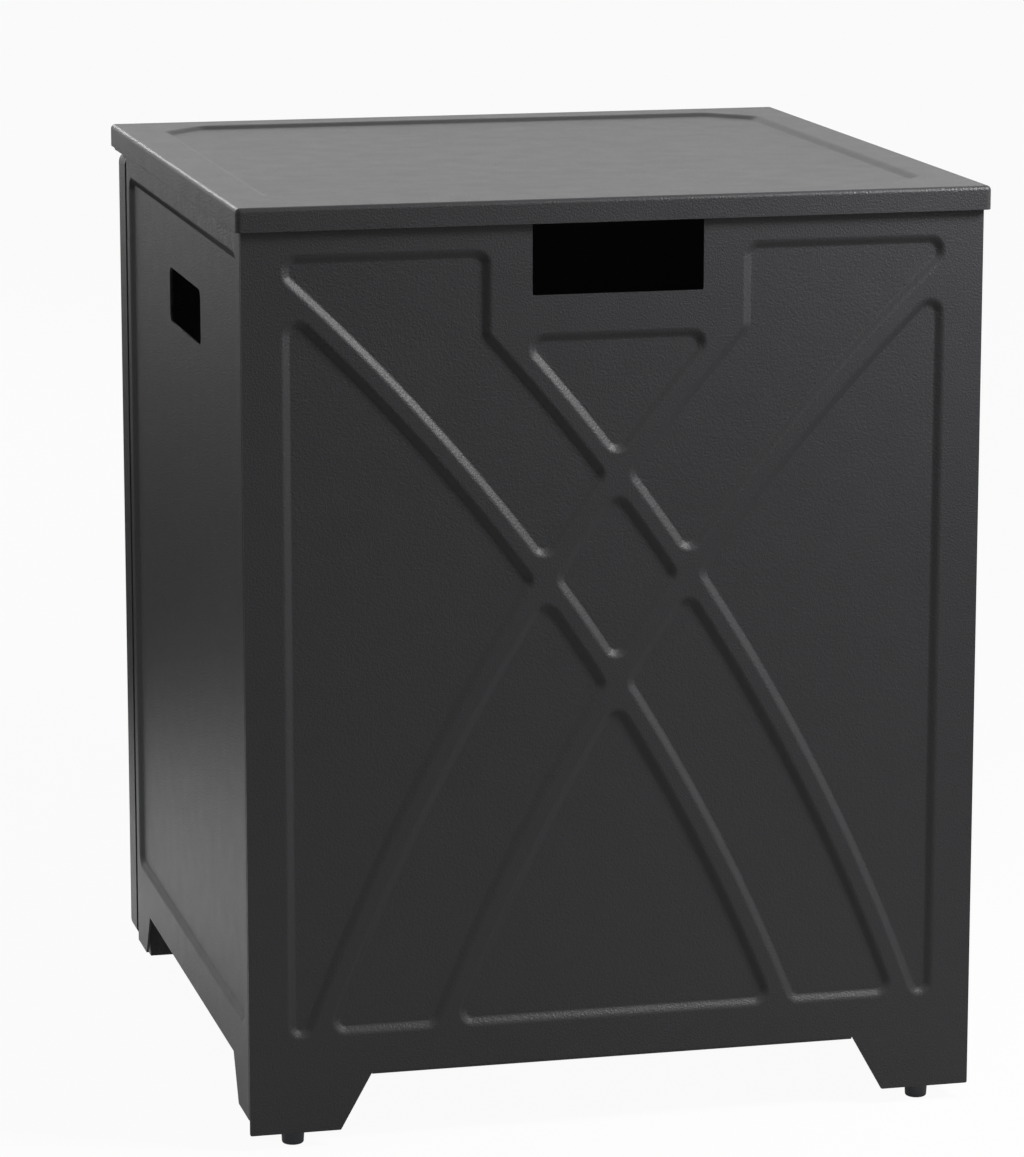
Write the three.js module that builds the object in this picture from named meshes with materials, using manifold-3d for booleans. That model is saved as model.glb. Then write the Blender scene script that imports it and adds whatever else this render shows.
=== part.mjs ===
// Patio side table that hides a gas bottle. A square cabinet of folded and pressed sheet steel stands
// open at the bottom on four screw-down feet, and carries a lift-off top and a door at the back.
// Millimetres, +Z up, front towards -Y, origin on the floor under the middle of the top.

import * as THREE from 'three';
import { mergeVertices } from 'three/addons/utils/BufferGeometryUtils.js';
import Module from 'manifold-3d';

const wasm = await Module();
wasm.setup();

// Driving dimensions

const overall = {
  side: 408.94,
  height: 508,
};

const fit = {
  seat: 0.3, // between sheets that lie on each other
  pin: 0.3, // round a shaft in its hole
  doorRun: 0.6, // above and below the door
  doorGap: 3.4, // between the side panels and the door
  cornerRelief: 1.5, // between two flanges that meet at a corner
  cut: 3, // how far a cutting body runs past what it cuts
};

const top = {
  sheet: 1,
  lipDepth: 12.8,
  edgeRadius: 2.5,
  cornerExtra: 0.5, // what the upright corners add to the edge radius
  recessBorder: 26.5,
  recessChamfer: 24,
  recessDepth: 2,
  recessSlope: 4,
};

const stiffener = {
  sheet: 0.9,
  flange: 17,
  endSetback: 7.5,
  showBelowLip: 1.7,
  hideAboveLip: 0.3,
  showLength: 240,
};

const cabinet = {
  sheet: 1.2,
  sideOverhang: 3,
  frontOverhang: 4.5,
  rearOverhang: 7.5,
  bendRadius: 2.5,
  edgeFlange: 14,
};

const pressing = {
  depth: 2.6,
  slope: 5,
  cornerRadius: 6,
};

const front = {
  footBottom: 9,
  footBottomWidth: 49.5,
  footTopWidth: 66,
  apron: 38.5,
  hoseWidth: 93,
  hoseDepth: 48.5,
};

// The relief of the front, in shares of the panel's width. It is drawn on a panel of heightShare and
// stretched upwards to the real height.
const relief = {
  heightShare: 1.2545,
  borderShare: 0.0596,
  cellsBottomShare: 0.1598,
  cellsTopShare: 1.19,
  blockWidthShare: 0.3539,
  blockBottomShare: 1.0771,
  bandCentreOutShare: 2.3527,
  bandCentreDropShare: 0.881,
  bandWidthShare: 0.031,
  outerBandRadiusShare: 2.7865,
  innerBandRadiusShare: 2.9468,
};

const sides = {
  footBottom: 17,
  footBottomWidth: 32,
  footTopWidth: 45,
  apron: 41,
  cornerFlange: 19.5,
  rearFlangeDrop: 15.5, // below the cabinet's top, for the door's hinge tab
  pressedBorder: 13.5,
  pressedBottom: 69,
  pressedTopDrop: 26,
  handWidth: 98,
  handHeight: 31,
  handDrop: 59.5,
  handRadius: 5,
};

const door = {
  depth: 25.54,
  topClear: 2.4, // under the lip of the top
  edgeRadius: 4.5,
  cornerExtra: 1.5, // what the corners add to the edge radius
  pressedBorder: 24,
  pressedEnds: 21,
  handInset: 46, // to the middle of its hand hole, which is a side's hand hole set upright
  handRise: 5, // above the door's middle
  pivotInset: 8.5,
  pivotDepth: 11,
};

const pivot = {
  radius: 2.5,
  headRadius: 4,
  headHeight: 1.8,
  engage: 8,
  tabSheet: 2,
  tabPast: 7,
};

const rail = {
  topHeight: 38,
  topDrop: 1.5,
  topFlange: 15,
  bottomHeight: 21.5,
  bottomFlange: 13,
  endGap: 0.4,
};

const bracket = {
  sheet: 1.6,
  baseBottom: 15,
  width: 45,
  length: 31,
  wallHeight: 35,
};

const leveler = {
  frontInset: 25.5,
  rearInset: 32,
  fromEnd: 9.5,
  padRadius: 6.25,
  padHeight: 8,
  padBevel: 1.2,
  padFloor: 3,
  studRadius: 3,
  studTop: 36,
  nutAcrossFlats: 10,
  nutHeight: 5,
};

const fastener = {
  inset: 11,
  studRadius: 2.5,
  studLength: 9,
  nutAcrossFlats: 8,
  nutHeight: 4,
  studHeightShares: [0.2, 0.535, 0.87], // of the cabinet's height
  screwRadius: 2,
  screwHeadRadius: 4,
  screwHeadHeight: 2.4,
  topScrewDrops: [20, 33],
  bottomScrewRise: 13,
};

const magnet = {
  width: 36,
  height: 14,
  inset: 25,
  underDoorTop: 2.4,
  doorGap: 0.4,
  screwRadius: 1.5,
  screwHeadRadius: 3,
  screwHeadHeight: 1.8,
  screwDepth: 8,
  screwSpread: 20,
};

const facets = {
  corner: 4,
  edge: 3,
  round: 16,
  hexagon: 6,
  reliefStep: 40, // the longest chord of the relief's arcs
};

// Places worked out from the dimensions

const halfTop = overall.side / 2;
const sideFace = halfTop - cabinet.sideOverhang;
const frontFace = halfTop - cabinet.frontOverhang;
const rearFace = halfTop - cabinet.rearOverhang;
const sideInner = sideFace - cabinet.sheet;

const lipBottom = overall.height - top.lipDepth;
const stiffenerUnderside = overall.height - top.sheet - fit.seat - stiffener.sheet;
const cabinetTop = stiffenerUnderside - fit.seat;

const sideFront = cabinet.sheet + fit.seat - frontFace;
const sideRear = rearFace - door.depth - fit.doorGap;
const sideLength = sideRear - sideFront;
const frontFlangeInner = sideFront + cabinet.sheet;
const rearFlangeInner = sideRear - cabinet.sheet;

const bracketTop = bracket.baseBottom + bracket.sheet;
// Square corners that lie in a bend keep clear of its inner radius
const bracketOuter = sideFace - cabinet.bendRadius;
const bracketInner = bracketOuter - bracket.width;
const frontBracketEnd = frontFlangeInner + fit.seat;
const rearBracketEnd = rearFlangeInner - fit.seat;

const frontLeveler = { x: sideFace - leveler.frontInset, y: frontBracketEnd + leveler.fromEnd };
const rearLeveler = { x: sideFace - leveler.rearInset, y: rearBracketEnd - leveler.fromEnd };

const doorBottom = bracketTop + fit.doorRun;
const doorTop = lipBottom - door.topClear;
const doorHalfHeight = (doorTop - doorBottom) / 2;
const doorMiddle = (doorTop + doorBottom) / 2;
const pivotX = sideFace - door.pivotInset;
const pivotY = rearFace - door.pivotDepth;
const tabHalfWidth = bracketOuter - pivotX;
const tabBottom = doorTop + fit.doorRun;

const topRailFace = rearFlangeInner - fit.seat;
const topRailTop = cabinetTop - rail.topDrop;
const bottomRailFace = rearBracketEnd - bracket.sheet - fit.seat;
const bottomRailBottom = bracketTop + fit.seat;
const bottomScrewZ = bottomRailBottom + fastener.bottomScrewRise;
const topScrewHeights = fastener.topScrewDrops.map((drop) => topRailTop - drop);
const flangeMiddle = sideFace - fastener.inset;
const studHeights = fastener.studHeightShares.map((share) => share * cabinetTop);

const magnetX = magnet.inset + magnet.width / 2 - sideFace;
const magnetTop = doorTop - cabinet.sheet - magnet.underDoorTop;
const magnetZ = magnetTop - magnet.height / 2;
const magnetScrews = [-1, 1].map((side) => magnetX + side * magnet.screwSpread / 2);

// Finishes

const finishes = {
  charcoal_paint: { color: 0x3b3c3e, roughness: 0.55, metalness: 0.1 },
  zinc_steel: { color: 0x9a9b99, roughness: 0.4, metalness: 0.9 },
  black_plastic: { color: 0x161617, roughness: 0.6, metalness: 0 },
};

// Solids: a closed geometry becomes a solid to join and cut, and the solid becomes a mesh's geometry

function solid(geometry) {
  const bare = geometry.clone();
  bare.deleteAttribute('normal');
  bare.deleteAttribute('uv');
  const merged = mergeVertices(bare);
  return new wasm.Manifold(new wasm.Mesh({
    numProp: 3,
    vertProperties: new Float32Array(merged.attributes.position.array),
    triVerts: new Uint32Array(merged.index.array),
  }));
}

function geometryOf(body) {
  const mesh = body.getMesh();
  const geometry = new THREE.BufferGeometry();
  geometry.setAttribute('position', new THREE.BufferAttribute(new Float32Array(mesh.vertProperties), 3));
  geometry.setIndex(new THREE.BufferAttribute(new Uint32Array(mesh.triVerts), 1));
  geometry.computeVertexNormals();
  return geometry;
}

function joined(bodies) {
  return bodies.reduce((sum, body) => sum.add(body));
}

function without(body, cuts) {
  return cuts.reduce((rest, cut) => rest.subtract(cut), body);
}

// A box between two values, in either order, along each axis
function block(x, y, z) {
  const size = [x, y, z].map(([a, b]) => Math.abs(b - a));
  const middle = [x, y, z].map(([a, b]) => (a + b) / 2);
  return solid(new THREE.BoxGeometry(...size).translate(...middle));
}

function rodAlongZ(radius, [from, to], x, y) {
  const geometry = new THREE.CylinderGeometry(radius, radius, to - from, facets.round);
  return solid(geometry.rotateX(Math.PI / 2).translate(x, y, (from + to) / 2));
}

function rodAlongX(radius, [from, to], y, z) {
  const geometry = new THREE.CylinderGeometry(radius, radius, Math.abs(to - from), facets.round);
  return solid(geometry.rotateZ(Math.PI / 2).translate((from + to) / 2, y, z));
}

function rodAlongY(radius, [from, to], x, z) {
  const geometry = new THREE.CylinderGeometry(radius, radius, to - from, facets.round);
  return solid(geometry.translate(x, (from + to) / 2, z));
}

// A turned piece on the Z axis through [radius, height] points that start and end on the axis
function turned(profile) {
  const points = profile.map(([radius, height]) => new THREE.Vector2(radius, height));
  return new THREE.LatheGeometry(points, facets.round).rotateX(Math.PI / 2);
}

function prism(points, from, to) {
  const shape = new THREE.Shape(points.map(([x, y]) => new THREE.Vector2(x, y)));
  const geometry = new THREE.ExtrudeGeometry(shape, { depth: to - from, bevelEnabled: false });
  return geometry.translate(0, 0, from);
}

// A solid through rings of equal length, each an outline with its height, from the lowest up
function loft(rings) {
  const count = rings[0].points.length;
  const positions = rings.flatMap(({ points, z }) => points.flatMap(([x, y]) => [x, y, z]));
  const walls = rings.slice(1).flatMap((_, ring) => rings[0].points.flatMap((_point, i) => {
    const a = ring * count + i;
    const b = ring * count + (i + 1) % count;
    return [a, b, b + count, a, b + count, a + count];
  }));
  const cap = ({ points }) => THREE.ShapeUtils.triangulateShape(
    points.map(([x, y]) => new THREE.Vector2(x, y)), []);
  const lowest = cap(rings[0]).flatMap(([a, b, c]) => [a, c, b]);
  const last = (rings.length - 1) * count;
  const highest = cap(rings.at(-1)).flatMap((triangle) => triangle.map((i) => last + i));
  const geometry = new THREE.BufferGeometry();
  geometry.setAttribute('position', new THREE.Float32BufferAttribute(positions, 3));
  geometry.setIndex([...walls, ...lowest, ...highest]);
  return solid(geometry);
}

function hexNut(acrossFlats, height, hole) {
  const radius = acrossFlats / Math.sqrt(3);
  const blank = new THREE.CylinderGeometry(radius, radius, height, facets.hexagon);
  const body = solid(blank.rotateX(Math.PI / 2).translate(0, 0, height / 2));
  return geometryOf(body.subtract(rodAlongZ(hole, [-fit.cut, height + fit.cut], 0, 0)));
}

// A screw or pin that stands head up, with its tip at height 0
function headed(radius, length, headRadius, headHeight) {
  return turned([
    [0, 0], [radius, 0], [radius, length], [headRadius, length], [headRadius, length + headHeight / 2],
    [(radius + headRadius) / 2, length + headHeight], [0, length + headHeight],
  ]);
}

// Outlines, all counterclockwise

function roundedRectangle(halfX, halfY, radius, middleX, middleY) {
  const corners = [[1, 1], [-1, 1], [-1, -1], [1, -1]];
  return corners.flatMap(([sx, sy], quarter) => Array.from({ length: facets.corner + 1 }, (_, i) => {
    const angle = (quarter + i / facets.corner) * Math.PI / 2;
    return [
      middleX + sx * (halfX - radius) + radius * Math.cos(angle),
      middleY + sy * (halfY - radius) + radius * Math.sin(angle),
    ];
  }));
}

// A square with its corners cut off, drawn in by an inset on all eight sides
function octagon(half, chamfer, inset) {
  const near = half - inset;
  const far = 2 * half - chamfer - inset * Math.SQRT2 - near;
  return [
    [near, far], [far, near], [-far, near], [-near, far],
    [-near, -far], [-far, -near], [far, -near], [near, -far],
  ];
}

// A folded channel seen from above: X along the face, Y into the cabinet, with a round bend at each end
function channel(half, depth) {
  const bend = (side, radius, quarter) => Array.from({ length: facets.corner + 1 }, (_, i) => {
    const angle = (quarter + i / facets.corner) * Math.PI / 2;
    const middle = half - cabinet.bendRadius;
    return [side * middle + radius * Math.cos(angle), cabinet.bendRadius + radius * Math.sin(angle)];
  });
  const inner = cabinet.bendRadius - cabinet.sheet;
  return [
    ...bend(-1, cabinet.bendRadius, 2), ...bend(1, cabinet.bendRadius, 3),
    [half, depth], [half - cabinet.sheet, depth],
    ...bend(1, inner, 3).reverse(), ...bend(-1, inner, 2).reverse(),
    [cabinet.sheet - half, depth], [-half, depth],
  ];
}

// The front carries bands that cross, each part of a ring about a point low down beside the cabinet, and
// the fields between the bands are pressed in. A field lies inside a circle, under a level or left of an
// upright that it keeps with 1, and on the other side of one that it keeps with -1.

const panelWidth = 2 * sideFace;
const bandCentreOut = panelWidth * relief.bandCentreOutShare;
const bandCentreDrop = panelWidth * relief.bandCentreDropShare;
const outerNear = panelWidth * (relief.outerBandRadiusShare - relief.bandWidthShare / 2);
const outerFar = panelWidth * (relief.outerBandRadiusShare + relief.bandWidthShare / 2);
const innerNear = panelWidth * (relief.innerBandRadiusShare - relief.bandWidthShare / 2);
const innerFar = panelWidth * (relief.innerBandRadiusShare + relief.bandWidthShare / 2);
const blockHalf = panelWidth * relief.blockWidthShare / 2;

const circle = (side, radius, keep) => ({ x: side * bandCentreOut, radius, keep });
const upright = (x, keep) => ({ upright: x, keep });
const level = (z, keep) => ({ level: z, keep });

const ceiling = level(panelWidth * relief.cellsTopShare, 1);
const ground = level(panelWidth * relief.cellsBottomShare, -1);
const lintel = level(panelWidth * relief.blockBottomShare, 1);
const border = upright(panelWidth * relief.borderShare - sideFace, -1);

// Fields left of the middle, which the right side mirrors: the top one, the side one and the low one
const leftFields = [
  [
    ceiling, border, circle(-1, outerFar, -1), circle(1, innerFar, -1),
    circle(-1, innerNear, 1), upright(-blockHalf, 1),
  ],
  [border, ground, circle(1, innerFar, -1), circle(-1, outerNear, 1)],
  [circle(1, innerNear, 1), ground, circle(1, outerFar, -1), circle(-1, outerNear, 1)],
];

// Fields on the middle line: the one under the hose opening, the diamond and the one over the apron
const middleFields = [
  [lintel, circle(-1, innerFar, -1), circle(1, innerFar, -1)],
  [circle(1, innerNear, 1), circle(-1, outerFar, -1), circle(1, outerFar, -1), circle(-1, innerNear, 1)],
  [circle(1, outerNear, 1), ground, circle(-1, outerNear, 1)],
];

function movedIn(edge, inset) {
  const shift = edge.keep * inset;
  if ('upright' in edge) return { upright: edge.upright - shift };
  if ('level' in edge) return { level: edge.level - shift };
  return { x: edge.x, radius: edge.radius - shift };
}

function heightOnCircle({ x, radius }, atX) {
  return Math.sqrt(radius ** 2 - (atX - x) ** 2) - bandCentreDrop;
}

function meeting(a, b) {
  if ('upright' in a) return [a.upright, 'level' in b ? b.level : heightOnCircle(b, a.upright)];
  if ('upright' in b) return meeting(b, a);
  if ('level' in a) {
    const run = Math.sqrt(b.radius ** 2 - (a.level + bandCentreDrop) ** 2);
    return [b.x - Math.sign(b.x) * run, a.level];
  }
  if ('level' in b) return meeting(b, a);
  const x = (a.radius ** 2 - b.radius ** 2) / (2 * (b.x - a.x));
  return [x, heightOnCircle(a, x)];
}

function cornersOf(edges) {
  return edges.map((edge, i) => meeting(edges.at(i - 1), edge));
}

function fieldOutline(field, inset) {
  const plainCorners = cornersOf(field.map((edge) => movedIn(edge, 0)));
  const edges = field.map((edge) => movedIn(edge, inset));
  const corners = cornersOf(edges);
  return edges.flatMap((edge, i) => {
    if (!('radius' in edge)) return [corners[i]];
    const next = (i + 1) % edges.length;
    const [x0, z0] = plainCorners[i];
    const [x1, z1] = plainCorners[next];
    const steps = Math.ceil(Math.hypot(x1 - x0, z1 - z0) / facets.reliefStep);
    const angleOf = ([x, z]) => Math.atan2(z + bandCentreDrop, x - edge.x);
    const first = angleOf(corners[i]);
    const turn = angleOf(corners[next]) - first;
    return Array.from({ length: steps }, (_, k) => {
      const angle = first + turn * k / steps;
      return [
        edge.x + edge.radius * Math.cos(angle),
        edge.radius * Math.sin(angle) - bandCentreDrop,
      ];
    });
  });
}

// Presses areas into a sheet whose outer face lies at height 0, each with a sloping rim. An area is a
// function that gives its outline at an inset.
function pressIn(plate, areas, { depth, slope, sheet }) {
  const dish = (area, below, stop) => loft([
    { points: area(slope / 2), z: -depth - below },
    { points: area(-slope / 2), z: -below },
    { points: area(-slope / 2), z: stop },
  ]);
  const backs = areas.map((area) => dish(area, sheet, -sheet / 2));
  const hollows = areas.map((area) => dish(area, 0, fit.cut));
  return without(joined([plate, ...backs]), hollows);
}

const cabinetPressing = { depth: pressing.depth, slope: pressing.slope, sheet: cabinet.sheet };

function pressedPanel(halfX, halfY, middleY) {
  return (inset) => roundedRectangle(
    halfX - inset, halfY - inset, pressing.cornerRadius - inset, 0, middleY);
}

// A pan of sheet with round edges, its face at height 0 and its sides running down
function pan({ halfX, halfY, edgeRadius, cornerExtra, depth, sheet }) {
  const rings = (inward, bottom) => {
    const round = edgeRadius - inward;
    const ring = (inset, z) => ({
      points: roundedRectangle(
        halfX - inward - inset, halfY - inward - inset, round - inset + cornerExtra, 0, 0),
      z,
    });
    const edge = Array.from({ length: facets.edge + 1 }, (_, i) => {
      const angle = i / facets.edge * Math.PI / 2;
      return ring(round * (1 - Math.cos(angle)), round * Math.sin(angle) - edgeRadius);
    });
    return [ring(0, bottom), ...edge];
  };
  return loft(rings(0, -depth)).subtract(loft(rings(sheet, -depth - fit.cut)));
}

// Lift-off top

function topPan() {
  const shell = pan({
    halfX: halfTop,
    halfY: halfTop,
    edgeRadius: top.edgeRadius,
    cornerExtra: top.cornerExtra,
    depth: top.lipDepth,
    sheet: top.sheet,
  });
  const area = (inset) => octagon(halfTop - top.recessBorder, top.recessChamfer, inset);
  return pressIn(shell, [area], { depth: top.recessDepth, slope: top.recessSlope, sheet: top.sheet });
}

// Angle inside a side lip of the top, whose lower edge comes out below the lip towards the back
function topStiffener(side) {
  const outer = halfTop - top.sheet - fit.seat;
  const end = halfTop - stiffener.endSetback;
  const crown = stiffenerUnderside + stiffener.sheet;
  const bend = top.edgeRadius - top.sheet;
  const low = lipBottom - stiffener.showBelowLip;
  const hidden = lipBottom + stiffener.hideAboveLip;
  const profile = [
    [0, crown - bend], [bend, crown], [stiffener.flange, crown], [stiffener.flange, stiffenerUnderside],
    [bend, stiffenerUnderside], [stiffener.sheet, crown - bend], [stiffener.sheet, low], [0, low],
  ].map(([inward, z]) => [side * (outer - inward), z]);
  const angle = prism(profile, -end, end).rotateX(Math.PI / 2);
  const slant = prism([
    [-end - fit.cut, low - fit.cut], [end + fit.cut, low - fit.cut], [end, low],
    [end - stiffener.showLength, hidden], [-end - fit.cut, hidden],
  ], -halfTop, halfTop).rotateX(Math.PI / 2).rotateZ(Math.PI / 2);
  return solid(angle).subtract(solid(slant));
}

// Cabinet panels, each drawn flat with X along it, Y up and its outer face at height 0

function frontPanel() {
  const footInner = sideFace - front.footBottomWidth;
  const apronEnd = sideFace - front.footTopWidth;
  const hose = front.hoseWidth / 2;
  const hoseBottom = cabinetTop - front.hoseDepth;
  const plate = prism([
    [-sideFace, front.footBottom], [-footInner, front.footBottom], [-apronEnd, front.apron],
    [apronEnd, front.apron], [footInner, front.footBottom], [sideFace, front.footBottom],
    [sideFace, cabinetTop], [hose, cabinetTop], [hose, hoseBottom],
    [-hose, hoseBottom], [-hose, cabinetTop], [-sideFace, cabinetTop],
  ], -cabinet.sheet, 0);
  const depth = [-cabinet.sheet / 2, -cabinet.sheet - cabinet.edgeFlange];
  const topFlange = [cabinetTop - cabinet.sheet, cabinetTop];
  const topFlangeEnd = sideInner - fit.cornerRelief;
  const blank = joined([
    solid(plate),
    block([-topFlangeEnd, -hose], topFlange, depth),
    block([hose, topFlangeEnd], topFlange, depth),
    block([-apronEnd, apronEnd], [front.apron, front.apron + cabinet.sheet], depth),
  ]);
  const stretch = cabinetTop / (panelWidth * relief.heightShare);
  const stretched = (field, inset) => fieldOutline(field, inset).map(([x, z]) => [x, z * stretch]);
  const areas = [...leftFields, ...middleFields].map((field) => (inset) => stretched(field, inset));
  const mirrored = leftFields.map((field) => (inset) => stretched(field, inset)
    .map(([x, z]) => [-x, z]).reverse());
  return pressIn(blank, [...areas, ...mirrored], cabinetPressing);
}

// The front end of a side panel lies towards +X of its drawing where frontEnd is 1, and -X where it is -1
function sidePanel(frontEnd) {
  const half = sideLength / 2;
  const footInner = half - sides.footBottomWidth;
  const apronEnd = half - sides.footTopWidth;
  const past = -sides.cornerFlange - fit.cut;
  const above = cabinetTop + fit.cut;
  const under = sides.footBottom - fit.cut;
  const frontReach = half - cabinet.edgeFlange - fit.cornerRelief;
  const rearReach = half - cabinet.bendRadius;
  const topFlangeBottom = cabinetTop - cabinet.sheet;
  const depth = [-cabinet.sheet / 2, -cabinet.sheet - cabinet.edgeFlange];

  const sheet = prism(channel(half, sides.cornerFlange), sides.footBottom, cabinetTop);
  const blank = solid(sheet.rotateX(-Math.PI / 2));
  const cuts = [
    solid(prism([
      [-footInner, under], [footInner, under], [footInner, sides.footBottom],
      [apronEnd, sides.apron], [-apronEnd, sides.apron], [-footInner, sides.footBottom],
    ], past, fit.cut)),
    block(
      [frontEnd * frontReach, frontEnd * (half + fit.cut)],
      [topFlangeBottom - fit.cornerRelief, above], [-cabinet.sheet, past]),
    block(
      [-frontEnd * rearReach, -frontEnd * (half + fit.cut)],
      [cabinetTop - sides.rearFlangeDrop, above], [-cabinet.sheet, past]),
  ];
  const flanges = [
    block([frontEnd * frontReach, -frontEnd * rearReach], [topFlangeBottom, cabinetTop], depth),
    block([-apronEnd, apronEnd], [sides.apron, sides.apron + cabinet.sheet], depth),
  ];
  const hole = (radius, end, height) => rodAlongX(
    radius + fit.pin, [end * (half - fit.cut), end * (half + fit.cut)], height, -fastener.inset);
  const holes = [
    ...studHeights.map((height) => hole(fastener.studRadius, frontEnd, height)),
    ...[...topScrewHeights, bottomScrewZ].map((height) => hole(fastener.screwRadius, -frontEnd, height)),
  ];
  const pressedHalf = (cabinetTop - sides.pressedTopDrop - sides.pressedBottom) / 2;
  const area = pressedPanel(half - sides.pressedBorder, pressedHalf, sides.pressedBottom + pressedHalf);
  const panel = pressIn(joined([without(blank, cuts), ...flanges]), [area], cabinetPressing);
  const handMiddle = cabinetTop - sides.handDrop - sides.handHeight / 2;
  const hand = prism(roundedRectangle(
    sides.handWidth / 2, sides.handHeight / 2, sides.handRadius, 0, handMiddle), past, fit.cut);
  return without(panel, [...holes, solid(hand)]);
}

function rearDoor() {
  const shell = pan({
    halfX: sideFace,
    halfY: doorHalfHeight,
    edgeRadius: door.edgeRadius,
    cornerExtra: door.cornerExtra,
    depth: door.depth,
    sheet: cabinet.sheet,
  });
  const area = pressedPanel(sideFace - door.pressedBorder, doorHalfHeight - door.pressedEnds, 0);
  const pressed = pressIn(shell, [area], cabinetPressing);
  const hand = prism(roundedRectangle(
    sides.handHeight / 2, sides.handWidth / 2, sides.handRadius,
    sideFace - door.handInset, door.handRise), -door.depth, fit.cut);
  const pinHole = rodAlongY(
    pivot.radius + fit.pin, [-doorHalfHeight - fit.cut, doorHalfHeight + fit.cut],
    -pivotX, -door.pivotDepth);
  return without(pressed, [solid(hand), pinHole]);
}

// Rails between the side panels at the back, drawn from the upper or lower edge of their rear face

function topRail() {
  const half = sideFace - cabinet.bendRadius;
  const blank = joined([
    block([-half, half], [-cabinet.sheet, 0], [-rail.topHeight, 0]),
    block([-half, half], [-cabinet.sheet - rail.topFlange, -cabinet.sheet / 2], [-cabinet.sheet, 0]),
    block(
      [pivotX - tabHalfWidth, pivotX + tabHalfWidth],
      [-cabinet.sheet / 2, pivotY + pivot.tabPast - topRailFace],
      [tabBottom - topRailTop, tabBottom + pivot.tabSheet - topRailTop]),
  ]);
  const through = [-cabinet.sheet - fit.cut, fit.cut];
  const screwHoles = [-1, 1].flatMap((side) => fastener.topScrewDrops.map((drop) => rodAlongY(
    fastener.screwRadius + fit.pin, through, side * flangeMiddle, -drop)));
  const magnetHoles = magnetScrews.map((x) => rodAlongY(
    magnet.screwRadius + fit.pin, through, x, magnetZ - topRailTop));
  const pinHole = rodAlongZ(
    pivot.radius + fit.pin, [-rail.topHeight, -cabinet.sheet - fit.cut], pivotX, pivotY - topRailFace);
  return without(blank, [...screwHoles, ...magnetHoles, pinHole]);
}

function bottomRail() {
  const half = bracketOuter - bracket.sheet - rail.endGap;
  const flangeHalf = bracketInner - rail.endGap;
  const blank = joined([
    block([-half, half], [-cabinet.sheet, 0], [0, rail.bottomHeight]),
    block(
      [-flangeHalf, flangeHalf], [-cabinet.sheet - rail.bottomFlange, -cabinet.sheet / 2],
      [0, cabinet.sheet]),
  ]);
  return without(blank, [-1, 1].map((side) => rodAlongY(
    fastener.screwRadius + fit.pin, [-cabinet.sheet - fit.cut, fit.cut],
    side * flangeMiddle, fastener.bottomScrewRise)));
}

// A screw driven backwards from inside the cabinet, its head seated at seatY and its tip at tipY
function screwFromInside({ screwRadius, screwHeadRadius, screwHeadHeight }, seatY, tipY) {
  return headed(screwRadius, tipY - seatY, screwHeadRadius, screwHeadHeight).rotateX(Math.PI / 2);
}

function magnetCatch() {
  const depth = rearFace - cabinet.sheet - magnet.doorGap - topRailFace - fit.seat;
  const half = magnet.width / 2;
  const body = block([-half, half], [0, depth], [-magnet.height / 2, magnet.height / 2]);
  return without(body, magnetScrews.map((x) => rodAlongY(
    magnet.screwRadius + fit.pin, [-fit.cut, magnet.screwDepth + fit.pin], x - magnetX, 0)));
}

// Feet, each drawn about the upright axis of its screw. The side is that of the cabinet along X, and the
// end is -1 at the front and 1 at the back.

function footBracket(side, end) {
  const axis = end < 0 ? frontLeveler : rearLeveler;
  const outer = bracketOuter - axis.x;
  const inner = bracketInner - axis.x;
  const near = leveler.fromEnd;
  const far = leveler.fromEnd - bracket.length;
  const x = [side * outer, side * inner];
  const y = [end * near, end * far];
  const walls = [bracket.baseBottom, bracket.baseBottom + bracket.wallHeight];
  const blank = joined([
    block(x, y, [bracket.baseBottom, bracketTop]),
    block([side * outer, side * (outer - bracket.sheet)], y, walls),
    block(x, [end * near, end * (near - bracket.sheet)], walls),
    block(x, [end * far, end * (far + bracket.sheet)], walls),
  ]);
  const base = [bracket.baseBottom - fit.cut, bracketTop + fit.cut];
  const studHole = rodAlongZ(leveler.studRadius + fit.pin, base, 0, 0);
  if (end < 0) return without(blank, [studHole]);
  const screwHole = rodAlongY(
    fastener.screwRadius + fit.pin, [near - bracket.sheet - fit.cut, near + fit.cut],
    side * (flangeMiddle - axis.x), bottomScrewZ);
  if (side < 0) return without(blank, [studHole, screwHole]);
  const pinX = pivotX - axis.x;
  const pinY = pivotY - axis.y;
  const tongue = block(
    [pinX - tabHalfWidth, pinX + tabHalfWidth], [near - bracket.sheet, pinY + pivot.tabPast],
    [bracket.baseBottom, bracketTop]);
  const pinHole = rodAlongZ(pivot.radius + fit.pin, base, pinX, pinY);
  return without(blank.add(tongue), [studHole, screwHole, pinHole]);
}

const levelerPad = turned([
  [0, 0], [leveler.padRadius - leveler.padBevel, 0], [leveler.padRadius, leveler.padBevel],
  [leveler.padRadius, leveler.padHeight], [leveler.studRadius + fit.pin, leveler.padHeight],
  [leveler.studRadius + fit.pin, leveler.padFloor], [0, leveler.padFloor],
]);

const levelerStud = turned([
  [0, leveler.padFloor + fit.seat], [leveler.studRadius, leveler.padFloor + fit.seat],
  [leveler.studRadius, leveler.studTop], [0, leveler.studTop],
]);

const levelerNut = hexNut(leveler.nutAcrossFlats, leveler.nutHeight, leveler.studRadius + fit.pin);

// Assembly

function piece(name, finish, body, [x, y, z]) {
  const geometry = body.isBufferGeometry ? body : geometryOf(body);
  const mesh = new THREE.Mesh(geometry, new THREE.MeshStandardMaterial(finishes[finish]));
  mesh.name = name;
  mesh.position.set(x, y, z);
  return mesh;
}

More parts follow.
